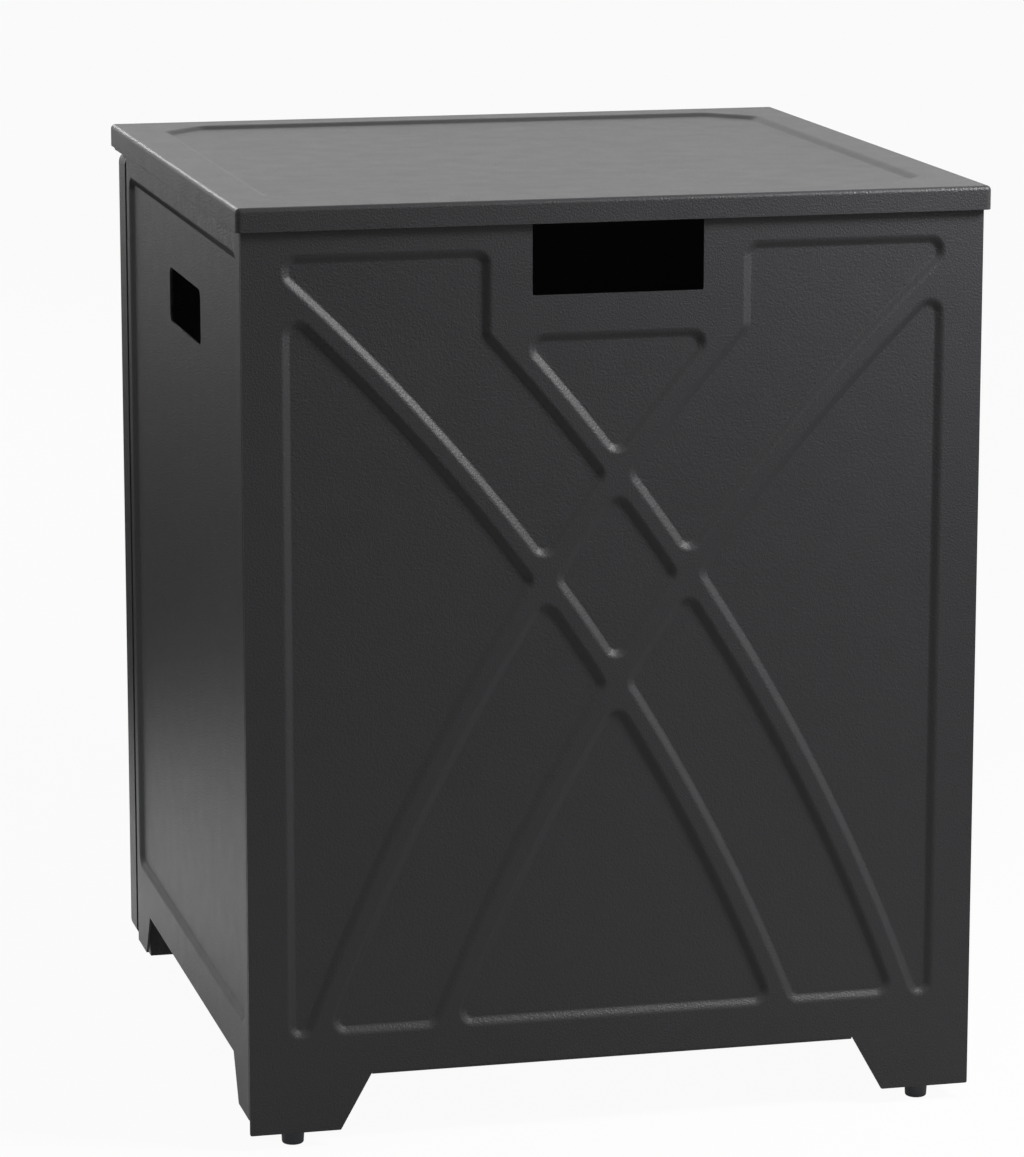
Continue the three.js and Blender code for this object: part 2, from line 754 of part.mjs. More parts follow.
// Stands a flat-drawn panel up with its outer face looking to the front, turned about Z by quarters
function standing(name, body, place, quarters) {
  const mesh = piece(name, 'charcoal_paint', body, place);
  mesh.rotation.set(Math.PI / 2, 0, quarters * Math.PI / 2, 'ZYX');
  return mesh;
}

function foot(name, side, end) {
  const group = new THREE.Group();
  group.add(
    piece(`foot_bracket_${name}`, 'charcoal_paint', footBracket(side, end), [0, 0, 0]),
    piece(`leveler_nut_${name}`, 'zinc_steel', levelerNut.clone(), [0, 0, bracketTop + fit.seat]),
    piece(`leveler_stud_${name}`, 'zinc_steel', levelerStud.clone(), [0, 0, 0]),
    piece(`leveler_pad_${name}`, 'black_plastic', levelerPad.clone(), [0, 0, 0]),
  );
  const axis = end < 0 ? frontLeveler : rearLeveler;
  group.position.set(side * axis.x, axis.y, 0);
  return group;
}

const lid = new THREE.Group();
lid.add(
  piece('lid', 'charcoal_paint', topPan(), [0, 0, overall.height]),
  piece('lid_stiffener_left', 'charcoal_paint', topStiffener(-1), [0, 0, 0]),
  piece('lid_stiffener_right', 'charcoal_paint', topStiffener(1), [0, 0, 0]),
);

const sideMiddle = (sideFront + sideRear) / 2;
const cabinetPanels = new THREE.Group();
cabinetPanels.add(
  standing('front_panel', frontPanel(), [0, -frontFace, 0], 0),
  standing('right_panel', sidePanel(-1), [sideFace, sideMiddle, 0], 1),
  standing('left_panel', sidePanel(1), [-sideFace, sideMiddle, 0], -1),
  piece('rear_top_rail', 'charcoal_paint', topRail(), [0, topRailFace, topRailTop]),
  piece('rear_bottom_rail', 'charcoal_paint', bottomRail(), [0, bottomRailFace, bottomRailBottom]),
);

const pinReach = pivot.engage + fit.doorRun + fit.seat;
const topPin = headed(pivot.radius, pinReach + pivot.tabSheet, pivot.headRadius, pivot.headHeight);
const bottomPin = headed(pivot.radius, pinReach + bracket.sheet, pivot.headRadius, pivot.headHeight);
bottomPin.rotateX(Math.PI);
const doorAndPins = new THREE.Group();
doorAndPins.add(
  standing('rear_door', rearDoor(), [0, rearFace, doorMiddle], 2),
  piece('door_pin_top', 'zinc_steel', topPin, [pivotX, pivotY, doorTop - pivot.engage]),
  piece('door_pin_bottom', 'zinc_steel', bottomPin, [pivotX, pivotY, doorBottom + pivot.engage]),
);

const catchSeat = topRailFace - cabinet.sheet - fit.seat;
const catchTip = topRailFace + fit.seat + magnet.screwDepth;
const catchGroup = new THREE.Group();
catchGroup.add(
  piece('magnet_catch', 'black_plastic', magnetCatch(), [magnetX, topRailFace + fit.seat, magnetZ]),
  ...magnetScrews.map((x, i) => piece(
    `magnet_screw_${i + 1}`, 'zinc_steel', screwFromInside(magnet, catchSeat, catchTip),
    [x, catchTip, magnetZ])),
);

const panelNut = hexNut(fastener.nutAcrossFlats, fastener.nutHeight, fastener.studRadius + fit.pin)
  .rotateX(-Math.PI / 2);
const panelStud = rodAlongY(fastener.studRadius, [0, fastener.studLength], 0, 0);
const bottomSeat = bottomRailFace - cabinet.sheet - fit.seat;
const fasteners = new THREE.Group();
for (const [name, side] of [['left', -1], ['right', 1]]) {
  const x = side * flangeMiddle;
  fasteners.add(
    ...studHeights.flatMap((height, i) => [
      piece(`panel_stud_${name}_${i + 1}`, 'zinc_steel', panelStud, [x, sideFront, height]),
      piece(`panel_nut_${name}_${i + 1}`, 'zinc_steel', panelNut.clone(),
        [x, frontFlangeInner + fit.seat, height]),
    ]),
    ...topScrewHeights.map((height, i) => piece(
      `top_rail_screw_${name}_${i + 1}`, 'zinc_steel', screwFromInside(fastener, catchSeat, sideRear),
      [x, sideRear, height])),
    piece(`bottom_rail_screw_${name}`, 'zinc_steel', screwFromInside(fastener, bottomSeat, sideRear),
      [x, sideRear, bottomScrewZ]),
  );
}

const table = new THREE.Group();
table.add(
  lid, cabinetPanels, doorAndPins, catchGroup, fasteners,
  foot('front_left', -1, -1), foot('front_right', 1, -1),
  foot('rear_left', -1, 1), foot('rear_right', 1, 1),
);

export default table;
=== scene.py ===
"""Gas bottle cover table: its dressed model, the studio round it and the camera.

All of it is in metres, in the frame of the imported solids: +Z up, the front towards -Y and the origin on
the floor under the middle of the top.
"""
import logging
import math
from dataclasses import dataclass, field, replace
from enum import Enum
from typing import Callable, Iterable, Sequence, Union

import bmesh
import bpy
from mathutils import Euler, Matrix, Vector


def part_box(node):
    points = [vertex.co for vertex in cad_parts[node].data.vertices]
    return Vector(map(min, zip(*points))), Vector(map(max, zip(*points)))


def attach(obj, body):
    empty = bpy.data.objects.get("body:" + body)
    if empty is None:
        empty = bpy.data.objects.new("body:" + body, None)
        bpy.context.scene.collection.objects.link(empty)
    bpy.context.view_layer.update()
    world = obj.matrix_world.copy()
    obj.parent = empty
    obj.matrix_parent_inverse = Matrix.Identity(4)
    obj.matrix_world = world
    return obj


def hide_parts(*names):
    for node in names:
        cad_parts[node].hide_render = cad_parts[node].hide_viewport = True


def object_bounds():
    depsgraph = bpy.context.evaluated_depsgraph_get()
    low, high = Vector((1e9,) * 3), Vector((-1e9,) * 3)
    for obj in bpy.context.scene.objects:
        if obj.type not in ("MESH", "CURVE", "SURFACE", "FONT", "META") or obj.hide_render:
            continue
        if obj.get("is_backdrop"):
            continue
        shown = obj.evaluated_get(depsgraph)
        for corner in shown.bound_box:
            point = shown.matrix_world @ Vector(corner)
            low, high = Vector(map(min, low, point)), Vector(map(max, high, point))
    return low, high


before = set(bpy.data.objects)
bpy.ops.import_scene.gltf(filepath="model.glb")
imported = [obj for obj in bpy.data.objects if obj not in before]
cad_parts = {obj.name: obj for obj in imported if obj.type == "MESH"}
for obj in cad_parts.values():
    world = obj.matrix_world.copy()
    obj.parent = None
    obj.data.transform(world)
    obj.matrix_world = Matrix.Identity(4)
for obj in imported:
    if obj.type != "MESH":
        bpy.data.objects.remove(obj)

LOG = logging.getLogger("cover_table")
PHOTO_WIDTH, PHOTO_HEIGHT = 1024, 1157
SENSOR_WIDTH_MM = 36.0
QUARTER = math.pi / 2
WHOLE_TURN = 2 * math.pi

Point = tuple[float, float]
Pair = tuple[float, float]
Place = Callable[[float, float, float], Vector]
Outline = Callable[[float], list[Point]]
Loop = list[bmesh.types.BMVert]
Colour = tuple[float, float, float, float]

WHITE: Colour = (1.0, 1.0, 1.0, 1.0)
BLACK: Colour = (0.0, 0.0, 0.0, 1.0)


def tone(red: int, green: int, blue: int) -> Colour:
    """The linear colour of a screen colour.

    Args:
        red: Red, 0 to 255.
        green: Green, 0 to 255.
        blue: Blue, 0 to 255.

    Returns:
        The colour as linear red, green, blue and alpha.
    """

    def linear(value: int) -> float:
        """One channel from the screen's scale to the linear one."""
        share = value / 255
        return share / 12.92 if share <= 0.04045 else ((share + 0.055) / 1.055) ** 2.4

    return linear(red), linear(green), linear(blue), 1.0


def shaded(colour: Colour, share: float) -> Colour:
    """A colour made darker or paler by a share of its light."""
    return tuple(share * part for part in colour[:3]) + (1.0,)


# Shader maths


class Wire:
    """An output socket that shader maths is written with as Python expressions."""

    def __init__(self, graph: "Graph", socket: bpy.types.NodeSocket) -> None:
        """Keeps the graph that new nodes go into, and the socket that they read."""
        self.graph = graph
        self.socket = socket

    def _math(self, operation: str, first: "Value", second: "Value") -> "Wire":
        """Adds a Math node of two values."""
        return self.graph.add("ShaderNodeMath", {"operation": operation}, {0: first, 1: second})

    def __add__(self, other: "Value") -> "Wire":
        """self + other."""
        return self._math("ADD", self, other)

    def __radd__(self, other: "Value") -> "Wire":
        """other + self."""
        return self._math("ADD", other, self)

    def __sub__(self, other: "Value") -> "Wire":
        """self - other."""
        return self._math("SUBTRACT", self, other)

    def __rsub__(self, other: "Value") -> "Wire":
        """other - self."""
        return self._math("SUBTRACT", other, self)

    def __mul__(self, other: "Value") -> "Wire":
        """self * other."""
        return self._math("MULTIPLY", self, other)

    def __rmul__(self, other: "Value") -> "Wire":
        """other * self."""
        return self._math("MULTIPLY", other, self)

    def larger(self, other: "Value") -> "Wire":
        """The larger of two values."""
        return self._math("MAXIMUM", self, other)


Value = Union[Wire, float]


class Graph:
    """The node tree of one material or of the world, emptied and ready to build."""

    def __init__(self, tree: bpy.types.NodeTree) -> None:
        """Empties the tree and keeps it."""
        self.tree = tree
        tree.nodes.clear()

    def add(
        self,
        kind: str,
        settings: Union[dict, None] = None,
        sockets: Union[dict, None] = None,
        output: Union[int, str] = 0,
    ) -> Wire:
        """Adds any node.

        Args:
            kind: The node's type.
            settings: Properties by name, set before the sockets.
            sockets: Input sockets by name or number, each a value or a Wire to link.
            output: The output that is wanted.

        Returns:
            That output, or the first input of a node that ends the tree.
        """
        node = self.tree.nodes.new(kind)
        for name, value in (settings or {}).items():
            setattr(node, name, value)
        for key, value in (sockets or {}).items():
            if isinstance(value, Wire):
                self.tree.links.new(value.socket, node.inputs[key])
            else:
                node.inputs[key].default_value = value
        ends = node.outputs if len(node.outputs) else node.inputs
        return Wire(self, ends[output])

    def place(self) -> Wire:
        """The point on the surface, in metres at rest."""
        return self.add("ShaderNodeTexCoord", output="Object")

    def surface(self, output: str) -> Wire:
        """A property of the surface, such as its Position or its Pointiness."""
        return self.add("ShaderNodeNewGeometry", output=output)

    def ray(self, output: str) -> Wire:
        """1 for one kind of ray and 0 for every other, such as Is Camera Ray."""
        return self.add("ShaderNodeLightPath", output=output)

    def noise(self, per_metre: float, detail: float = 2.0, roughness: float = 0.5) -> Wire:
        """Cloudy noise from 0 to 1.

        Args:
            per_metre: How many clouds lie in a metre.
            detail: How many finer layers are added.
            roughness: How strong the finer layers are.

        Returns:
            The noise.
        """
        sockets = {"Vector": self.place(), "Scale": per_metre, "Detail": detail, "Roughness": roughness}
        return self.add("ShaderNodeTexNoise", {}, sockets)

    def blend(self, factor: Value, first: Union[Wire, Colour], second: Union[Wire, Colour]) -> Wire:
        """Mixes two colours, the first at a factor of 0 and the second at 1."""
        settings = {"data_type": "RGBA", "clamp_factor": True}
        return self.add("ShaderNodeMix", settings, {0: factor, 6: first, 7: second}, 2)

    def rising(self, value: Wire, low: float, high: float) -> Wire:
        """Goes smoothly from 0 to 1 as a value goes from low to high."""
        sockets = {"Value": value, "From Min": low, "From Max": high}
        return self.add("ShaderNodeMapRange", {"interpolation_type": "SMOOTHSTEP"}, sockets)

    def bump(self, height: Wire, depth: float, strength: float) -> Wire:
        """The surface direction of a height, where a height of 1 stands for the depth."""
        sockets = {"Height": height, "Distance": depth, "Strength": strength}
        return self.add("ShaderNodeBump", {}, sockets)

    def mixed(self, factor: Value, first: Wire, second: Wire) -> Wire:
        """Mixes two shaders, the first at a factor of 0 and the second at 1."""
        return self.add("ShaderNodeMixShader", {}, {0: factor, 1: first, 2: second})


def layered(middle: float, *layers: tuple[Wire, float]) -> Wire:
    """Adds layers of noise up about a middle value.

    Args:
        middle: The value where every layer is at a half.
        layers: Each layer and its weight.

    Returns:
        The sum.
    """
    lowest = middle - sum(weight for _, weight in layers) / 2
    return sum((layer * weight for layer, weight in layers), lowest)


# Finishes


class Finish:
    """What every finish shares: a named material with one main shader.

    Attributes:
        name: The material's name.
    """

    name: str

    def shader_sockets(self, graph: Graph) -> dict:
        """The main shader's sockets by name. Each finish has its own."""
        raise NotImplementedError

    def material(self) -> bpy.types.Material:
        """Makes the finish's material the first time that it is asked for.

        Returns:
            The material.
        """
        known = bpy.data.materials.get(self.name)
        if known:
            return known
        made = bpy.data.materials.new(self.name)
        made.use_nodes = True
        graph = Graph(made.node_tree)
        shader = graph.add("ShaderNodeBsdfPrincipled", {}, self.shader_sockets(graph))
        graph.add("ShaderNodeOutputMaterial", {}, {"Surface": shader})
        return made


@dataclass(frozen=True)
class PowderCoat(Finish):
    """Baked powder paint: a fine pebbled skin, slight mottling, and edges that are rubbed lighter.

    Attributes:
        name: The material's name.
        colour: The paint.
        rubbed: The paint where it is rubbed.
        darkest: The darkest mottling, as a share of the colour.
        palest: The palest mottling, as a share of the colour.
        mottling: Where between them the paint lies on the whole.
        roughness: How dull it is on the whole.
        specular: How strongly it shines.
        pebbles: How many pebbles lie in a metre.
        powder: How many grains lie in a metre.
        clouds: How many broad clouds of tone lie in a metre.
        drift: How many small clouds of tone lie in a metre.
        patches: How many patches that can be rubbed lie in a metre.
        edges: The pointiness at which rubbing starts and is full.
        rubbing: The strength of a patch at which rubbing starts and is full.
        wear: How far a rubbed edge takes on its own colour.
        polish: How much less dull it is there.
        pebble_depth: How deep the skin is.
        relief: How much of that depth is seen.
    """

    name: str = "charcoal_powder_coat"
    colour: Colour = tone(47, 47, 49)
    rubbed: Colour = tone(92, 93, 95)
    darkest: float = 0.9
    palest: float = 1.12
    mottling: float = 0.505
    roughness: float = 0.42
    specular: float = 0.3
    pebbles: float = 900.0
    powder: float = 2790.0
    clouds: float = 9.0
    drift: float = 55.0
    patches: float = 190.0
    edges: Pair = (0.52, 0.62)
    rubbing: Pair = (0.42, 0.68)
    wear: float = 0.45
    polish: float = 0.06
    pebble_depth: float = 0.00075
    relief: float = 0.55

    def shader_sockets(self, graph: Graph) -> dict:
        """Paint that varies a little in colour and gloss, over pebbles of two sizes.

        Args:
            graph: The material's nodes.

        Returns:
            The main shader's sockets by name.
        """
        pebbles = graph.noise(self.pebbles, 2.0, 0.55)
        powder = graph.noise(self.powder, 1.0)
        clouds = graph.noise(self.clouds, 4.0, 0.6)
        drift = graph.noise(self.drift, 3.0)
        patches = graph.noise(self.patches, 4.0, 0.65)
        worn = graph.rising(graph.surface("Pointiness"), *self.edges) * graph.rising(patches, *self.rubbing)
        mottle = layered(self.mottling, (clouds, 0.5), (drift, 0.3), (pebbles, 0.35), (powder, 0.2))
        paint = graph.blend(mottle, shaded(self.colour, self.darkest), shaded(self.colour, self.palest))
        skin = pebbles * 0.7 + powder * 0.15 + patches * 0.15
        return {
            "Base Color": graph.blend(worn * self.wear, paint, self.rubbed),
            "Roughness": layered(self.roughness, (powder, 0.14), (drift, 0.08)) - worn * self.polish,
            "Specular IOR Level": self.specular,
            "Normal": graph.bump(skin, self.pebble_depth, self.relief),
        }


@dataclass(frozen=True)
class ZincPlate(Finish):
    """Zinc-plated steel with faint crystals and a few dull spots.

    Attributes:
        name: The material's name.
        colour: The middle of a crystal.
        rim: The rim of a crystal.
        dull: A dull spot.
        spot_cover: How far a spot takes on its own colour.
        spots: The strength of the tarnish at which a spot starts and is full.
        metallic: How metallic the bare plate is.
        roughness: How dull it is on the whole.
        crystals: How many crystals lie in a metre.
        tarnish: How many clouds of tarnish lie in a metre.
        grain: How many grains lie in a metre.
        grain_depth: How deep the surface is.
        relief: How much of that depth is seen.
    """

    name: str = "zinc_plated_steel"
    colour: Colour = tone(168, 170, 172)
    rim: Colour = tone(150, 153, 158)
    dull: Colour = tone(116, 116, 112)
    spot_cover: float = 0.6
    spots: Pair = (0.5, 0.72)
    metallic: float = 0.95
    roughness: float = 0.34
    crystals: float = 900.0
    tarnish: float = 420.0
    grain: float = 5200.0
    grain_depth: float = 0.00004
    relief: float = 0.5

    def shader_sockets(self, graph: Graph) -> dict:
        """Metal with crystals of slightly different shine.

        Args:
            graph: The material's nodes.

        Returns:
            The main shader's sockets by name.
        """
        cells = {"Vector": graph.place(), "Scale": self.crystals}
        crystals = graph.add("ShaderNodeTexVoronoi", {}, cells, "Distance")
        grain = graph.noise(self.grain, 1.0)
        spots = graph.rising(graph.noise(self.tarnish, 4.0, 0.6), *self.spots)
        plate = graph.blend(crystals, self.colour, self.rim)
        return {
            "Base Color": graph.blend(spots * self.spot_cover, plate, self.dull),
            "Metallic": self.metallic - spots * 0.25,
            "Roughness": layered(self.roughness, (crystals, 0.1), (grain, 0.06)) + spots * 0.2,
            "Normal": graph.bump(grain * 0.5 + crystals * 0.5, self.grain_depth, self.relief),
        }


@dataclass(frozen=True)
class MouldedPlastic(Finish):
    """Tough moulded plastic with a spark-eroded grain and scuffs.

    Attributes:
        name: The material's name.
        colour: The plastic.
        scuffed: The plastic where it is scuffed.
        scuff_cover: How far a scuff takes on its own colour.
        scuffs: The strength of a patch at which a scuff starts and is full.
        edges: The pointiness at which an edge starts to be scuffed and is so in full.
        edge_share: How strongly an edge is scuffed.
        roughness: How dull it is on the whole.
        specular: How strongly it shines.
        grain: How many grains lie in a metre.
        patches: How many patches that can be scuffed lie in a metre.
        grain_depth: How deep the grain is.
        relief: How much of that depth is seen.
    """

    name: str = "dark_moulded_plastic"
    colour: Colour = tone(58, 60, 64)
    scuffed: Colour = tone(88, 88, 88)
    scuff_cover: float = 0.35
    scuffs: Pair = (0.55, 0.75)
    edges: Pair = (0.55, 0.68)
    edge_share: float = 0.6
    roughness: float = 0.52
    specular: float = 0.4
    grain: float = 2600.0
    patches: float = 330.0
    grain_depth: float = 0.00008
    relief: float = 0.5

    def shader_sockets(self, graph: Graph) -> dict:
        """Plastic, scuffed in patches and along its edges.

        Args:
            graph: The material's nodes.

        Returns:
            The main shader's sockets by name.
        """
        grain = graph.noise(self.grain, 2.0, 0.6)
        patches = graph.rising(graph.noise(self.patches, 5.0, 0.7), *self.scuffs)
        scuffs = patches.larger(graph.rising(graph.surface("Pointiness"), *self.edges) * self.edge_share)
        return {
            "Base Color": graph.blend(scuffs * self.scuff_cover, self.colour, self.scuffed),
            "Roughness": layered(self.roughness, (grain, 0.1)) + scuffs * 0.15,
            "Specular IOR Level": self.specular,
            "Normal": graph.bump(grain, self.grain_depth, self.relief),
        }


class Slot(Enum):
    """The names of what the pieces are made of."""

    PAINT = "charcoal_paint"
    ZINC = "zinc_steel"
    PLASTIC = "black_plastic"


FINISH_OF = {Slot.PAINT: PowderCoat(), Slot.ZINC: ZincPlate(), Slot.PLASTIC: MouldedPlastic()}


# Outlines, all counterclockwise as seen from outside


def rounded(
    corners: Sequence[Point], radii: Sequence[float], inset: float = 0.0, steps: int = 6
) -> list[Point]:
    """A polygon with rounded corners, drawn in on all sides.

    Args:
        corners: The sharp corners.
        radii: The radius of each corner, or 0 for a sharp one.
        inset: How far the outline is drawn in.
        steps: How many chords each round corner has.

    Returns:
        The outline. It has equally many points at every inset.
    """
    outline = []
    for i, radius in enumerate(radii):
        before, here, after = (Vector(corners[(i + k) % len(corners)]) for k in (-1, 0, 1))
        came, goes = (here - before).normalized(), (after - here).normalized()
        normals = [Vector((-way.y, way.x)) for way in (came, goes)]
        turn = math.atan2(came.x * goes.y - came.y * goes.x, came.dot(goes))
        side = 1 if turn > 0 else -1
        out = (normals[0] + normals[1]) / (1 + normals[0].dot(normals[1]))
        if radius == 0:
            outline.append(tuple(here + out * inset))
            continue
        centre = here + out * (side * radius)
        first = math.atan2(-side * normals[0].y, -side * normals[0].x)
        for k in range(steps + 1):
            angle = first + turn * k / steps
            reach = radius - side * inset
            outline.append((centre.x + reach * math.cos(angle), centre.y + reach * math.sin(angle)))
    return outline


@dataclass(frozen=True)
class RoundBox:
    """A rectangle with rounded corners.

    Attributes:
        half_x: Half its width.
        half_y: Half its height.
        radius: The radius of its corners.
        middle: Its middle.
        steps: How many chords each corner has.
    """

    half_x: float
    half_y: float
    radius: float
    middle: Point = (0.0, 0.0)
    steps: int = 8

    def outline(self, inset: float = 0.0) -> list[Point]:
        """Draws the rectangle.

        Args:
            inset: How far it is drawn in.

        Returns:
            Its outline.
        """
        x, y = self.middle
        left, right = x - self.half_x, x + self.half_x
        low, high = y - self.half_y, y + self.half_y
        corners = [(left, low), (right, low), (right, high), (left, high)]
        return rounded(corners, [self.radius] * len(corners), inset, self.steps)


class Line(Enum):
    """What the edges of the front's pressed fields run along."""

    LEVEL = "level"
    UPRIGHT = "upright"
    RING = "ring"


@dataclass(frozen=True)
class Edge:
    """An edge of a pressed field on the front.

    The field lies under a level, left of an upright or inside a ring that keeps with 1, and on the other
    side of one that keeps with -1. All rings are centred at the same depth below the floor.

    Attributes:
        line: What it runs along.
        at: The height of a level, the place across of an upright or the radius of a ring.
        keep: Which side of it the field is on.
        across: Where a ring's centre lies across.
        drop: How far below the floor the rings are centred.
    """

    line: Line
    at: float
    keep: int
    across: float
    drop: float

    def moved_in(self, inset: float) -> "Edge":
        """The same edge, drawn into the field."""
        return replace(self, at=self.at - self.keep * inset)

    def nearest(self, point: Point) -> Point:
        """Finds the edge's point that is nearest to another point.

        Args:
            point: The other point.

        Returns:
            The edge's point.
        """
        x, z = point
        if self.line is Line.LEVEL:
            return x, self.at
        if self.line is Line.UPRIGHT:
            return self.at, z
        way = Vector((x - self.across, z + self.drop)).normalized() * self.at
        return self.across + way.x, way.y - self.drop

    def height(self, x: float) -> float:
        """Finds how high a level or a ring runs.

        Args:
            x: The place across.

        Returns:
            The height there.
        """
        if self.line is Line.LEVEL:
            return self.at
        return math.sqrt(self.at**2 - (x - self.across) ** 2) - self.drop

    def meets(self, other: "Edge") -> Point:
        """Finds where two edges cross.

        Args:
            other: The other edge. Two rings that cross are centred equally far to the left and right.

        Returns:
            The crossing. Of the two places where a level crosses a ring it is the one that is nearer to
            the middle line.
        """
        if self.line is Line.UPRIGHT:
            return self.at, other.height(self.at)
        if other.line is Line.UPRIGHT or (other.line is Line.LEVEL and self.line is Line.RING):
            return other.meets(self)
        if self.line is Line.LEVEL:
            run = math.sqrt(other.at**2 - (self.at + self.drop) ** 2)
            return other.across - math.copysign(run, other.across), self.at
        x = (self.at**2 - other.at**2) / (2 * (other.across - self.across))
        return x, self.height(x)


@dataclass(frozen=True)
class CurvedField:
    """A pressed field between straight edges and rings, with rounded corners.

    Attributes:
        edges: The edges, counterclockwise.
        radii: The radius of the corner at which each edge starts.
        steps: How many chords each corner has.
        chord: The longest chord along a ring.
    """

    edges: tuple[Edge, ...]
    radii: tuple[float, ...]
    steps: int = 8
    chord: float = 0.006

    def _corner(self, number: int) -> tuple[Vector, int]:
        """Finds a rounded corner.

        Args:
            number: The edge that starts at the corner.

        Returns:
            The corner's centre, and 1 where the field turns left there or -1 where it turns right.
        """
        count = len(self.edges)
        sharp = []
        for k in (-1, 0, 1):
            arriving, leaving = self.edges[(number + k - 1) % count], self.edges[(number + k) % count]
            sharp.append(Vector(arriving.meets(leaving)))
        side = 1 if (sharp[1] - sharp[0]).cross(sharp[2] - sharp[1]) > 0 else -1
        before, after = (self.edges[i].moved_in(side * self.radii[number]) for i in (number - 1, number))
        return Vector(before.meets(after)), side

    def outline(self, inset: float) -> list[Point]:
        """The field's outline, drawn in.

        Args:
            inset: How far it is drawn in.

        Returns:
            Its points, equally many at every inset.
        """
        points = []
        for i, edge in enumerate(self.edges):
            middle, side = self._corner(i)
            starts = Vector(self.edges[i - 1].nearest(middle)) - middle
            ends = Vector(edge.nearest(middle)) - middle
            first = math.atan2(starts.y, starts.x)
            turn = (math.atan2(ends.y, ends.x) - first) % WHOLE_TURN
            turn = turn if side > 0 else turn - WHOLE_TURN
            reach = self.radii[i] - side * inset
            for k in range(self.steps + 1):
                angle = first + turn * k / self.steps
                points.append((middle.x + reach * math.cos(angle), middle.y + reach * math.sin(angle)))
            if edge.line is Line.RING:
                points += self._along(i, Vector(edge.nearest(middle)), inset)
        return points

    def _along(self, number: int, start: Vector, inset: float) -> list[Point]:
        """Follows a ring between two rounded corners.

        Args:
            number: The ring's edge.
            start: Where the first corner ends.
            inset: How far the outline is drawn in.

        Returns:
            The points between the two ends.
        """
        edge = self.edges[number]
        stop = Vector(edge.nearest(self._corner((number + 1) % len(self.edges))[0]))
        first, last = (math.atan2(p.y + edge.drop, p.x - edge.across) for p in (start, stop))
        reach = edge.at - edge.keep * inset
        count = max(2, math.ceil((stop - start).length / self.chord))
        turns = [first + (last - first) * k / count for k in range(1, count)]
        return [(edge.across + reach * math.cos(a), reach * math.sin(a) - edge.drop) for a in turns]


# Sheet metal


@dataclass(frozen=True)
class Press:
    """How a field is pressed into sheet: a rim that rolls over from the land and ends in a tight foot.

    Attributes:
        depth: How deep the field lies.
        shoulder: How far the rim reaches onto the land.
        foot: How far the rim reaches into the field.
        skew: How much nearer to the foot the steep part lies, from 1 for the middle.
        steps: How many strips the rim has.
    """

    depth: float = 0.0026
    shoulder: float = 0.0036
    foot: float = 0.0022
    skew: float = 1.25
    steps: int = 10

    def rings(self) -> list[Point]:
        """Works out the rings of the rim.

        Returns:
            The inset and height of each, from the land down to the field.
        """
        made = []
        for k in range(self.steps + 1):
            share = k / self.steps
            late = share**self.skew
            fall = late * late * (3 - 2 * late)
            made.append(((self.shoulder + self.foot) * share - self.shoulder, -self.depth * fall))
        return made


@dataclass(frozen=True)
class RolledEdge:
    """The rounded edge round a pan, with the pan's walls below it.

    Attributes:
        radius: The radius of the edge.
        corner_extra: What the upright corners add to that radius.
        steps: How many chords the edge has.
        corner_steps: How many chords an upright corner has.
    """

    radius: float
    corner_extra: float
    steps: int
    corner_steps: int = 8

    def profile(self, depth: float) -> list[Point]:
        """The inset and height of each row, from the foot of the walls up to the face.

        Args:
            depth: How deep the walls reach.

        Returns:
            The rows.
        """
        angles = [QUARTER * k / self.steps for k in range(self.steps + 1)]
        rolled = [(self.radius * (1 - math.cos(a)), self.radius * (math.sin(a) - 1)) for a in angles]
        return [(0.0, -depth), *rolled]


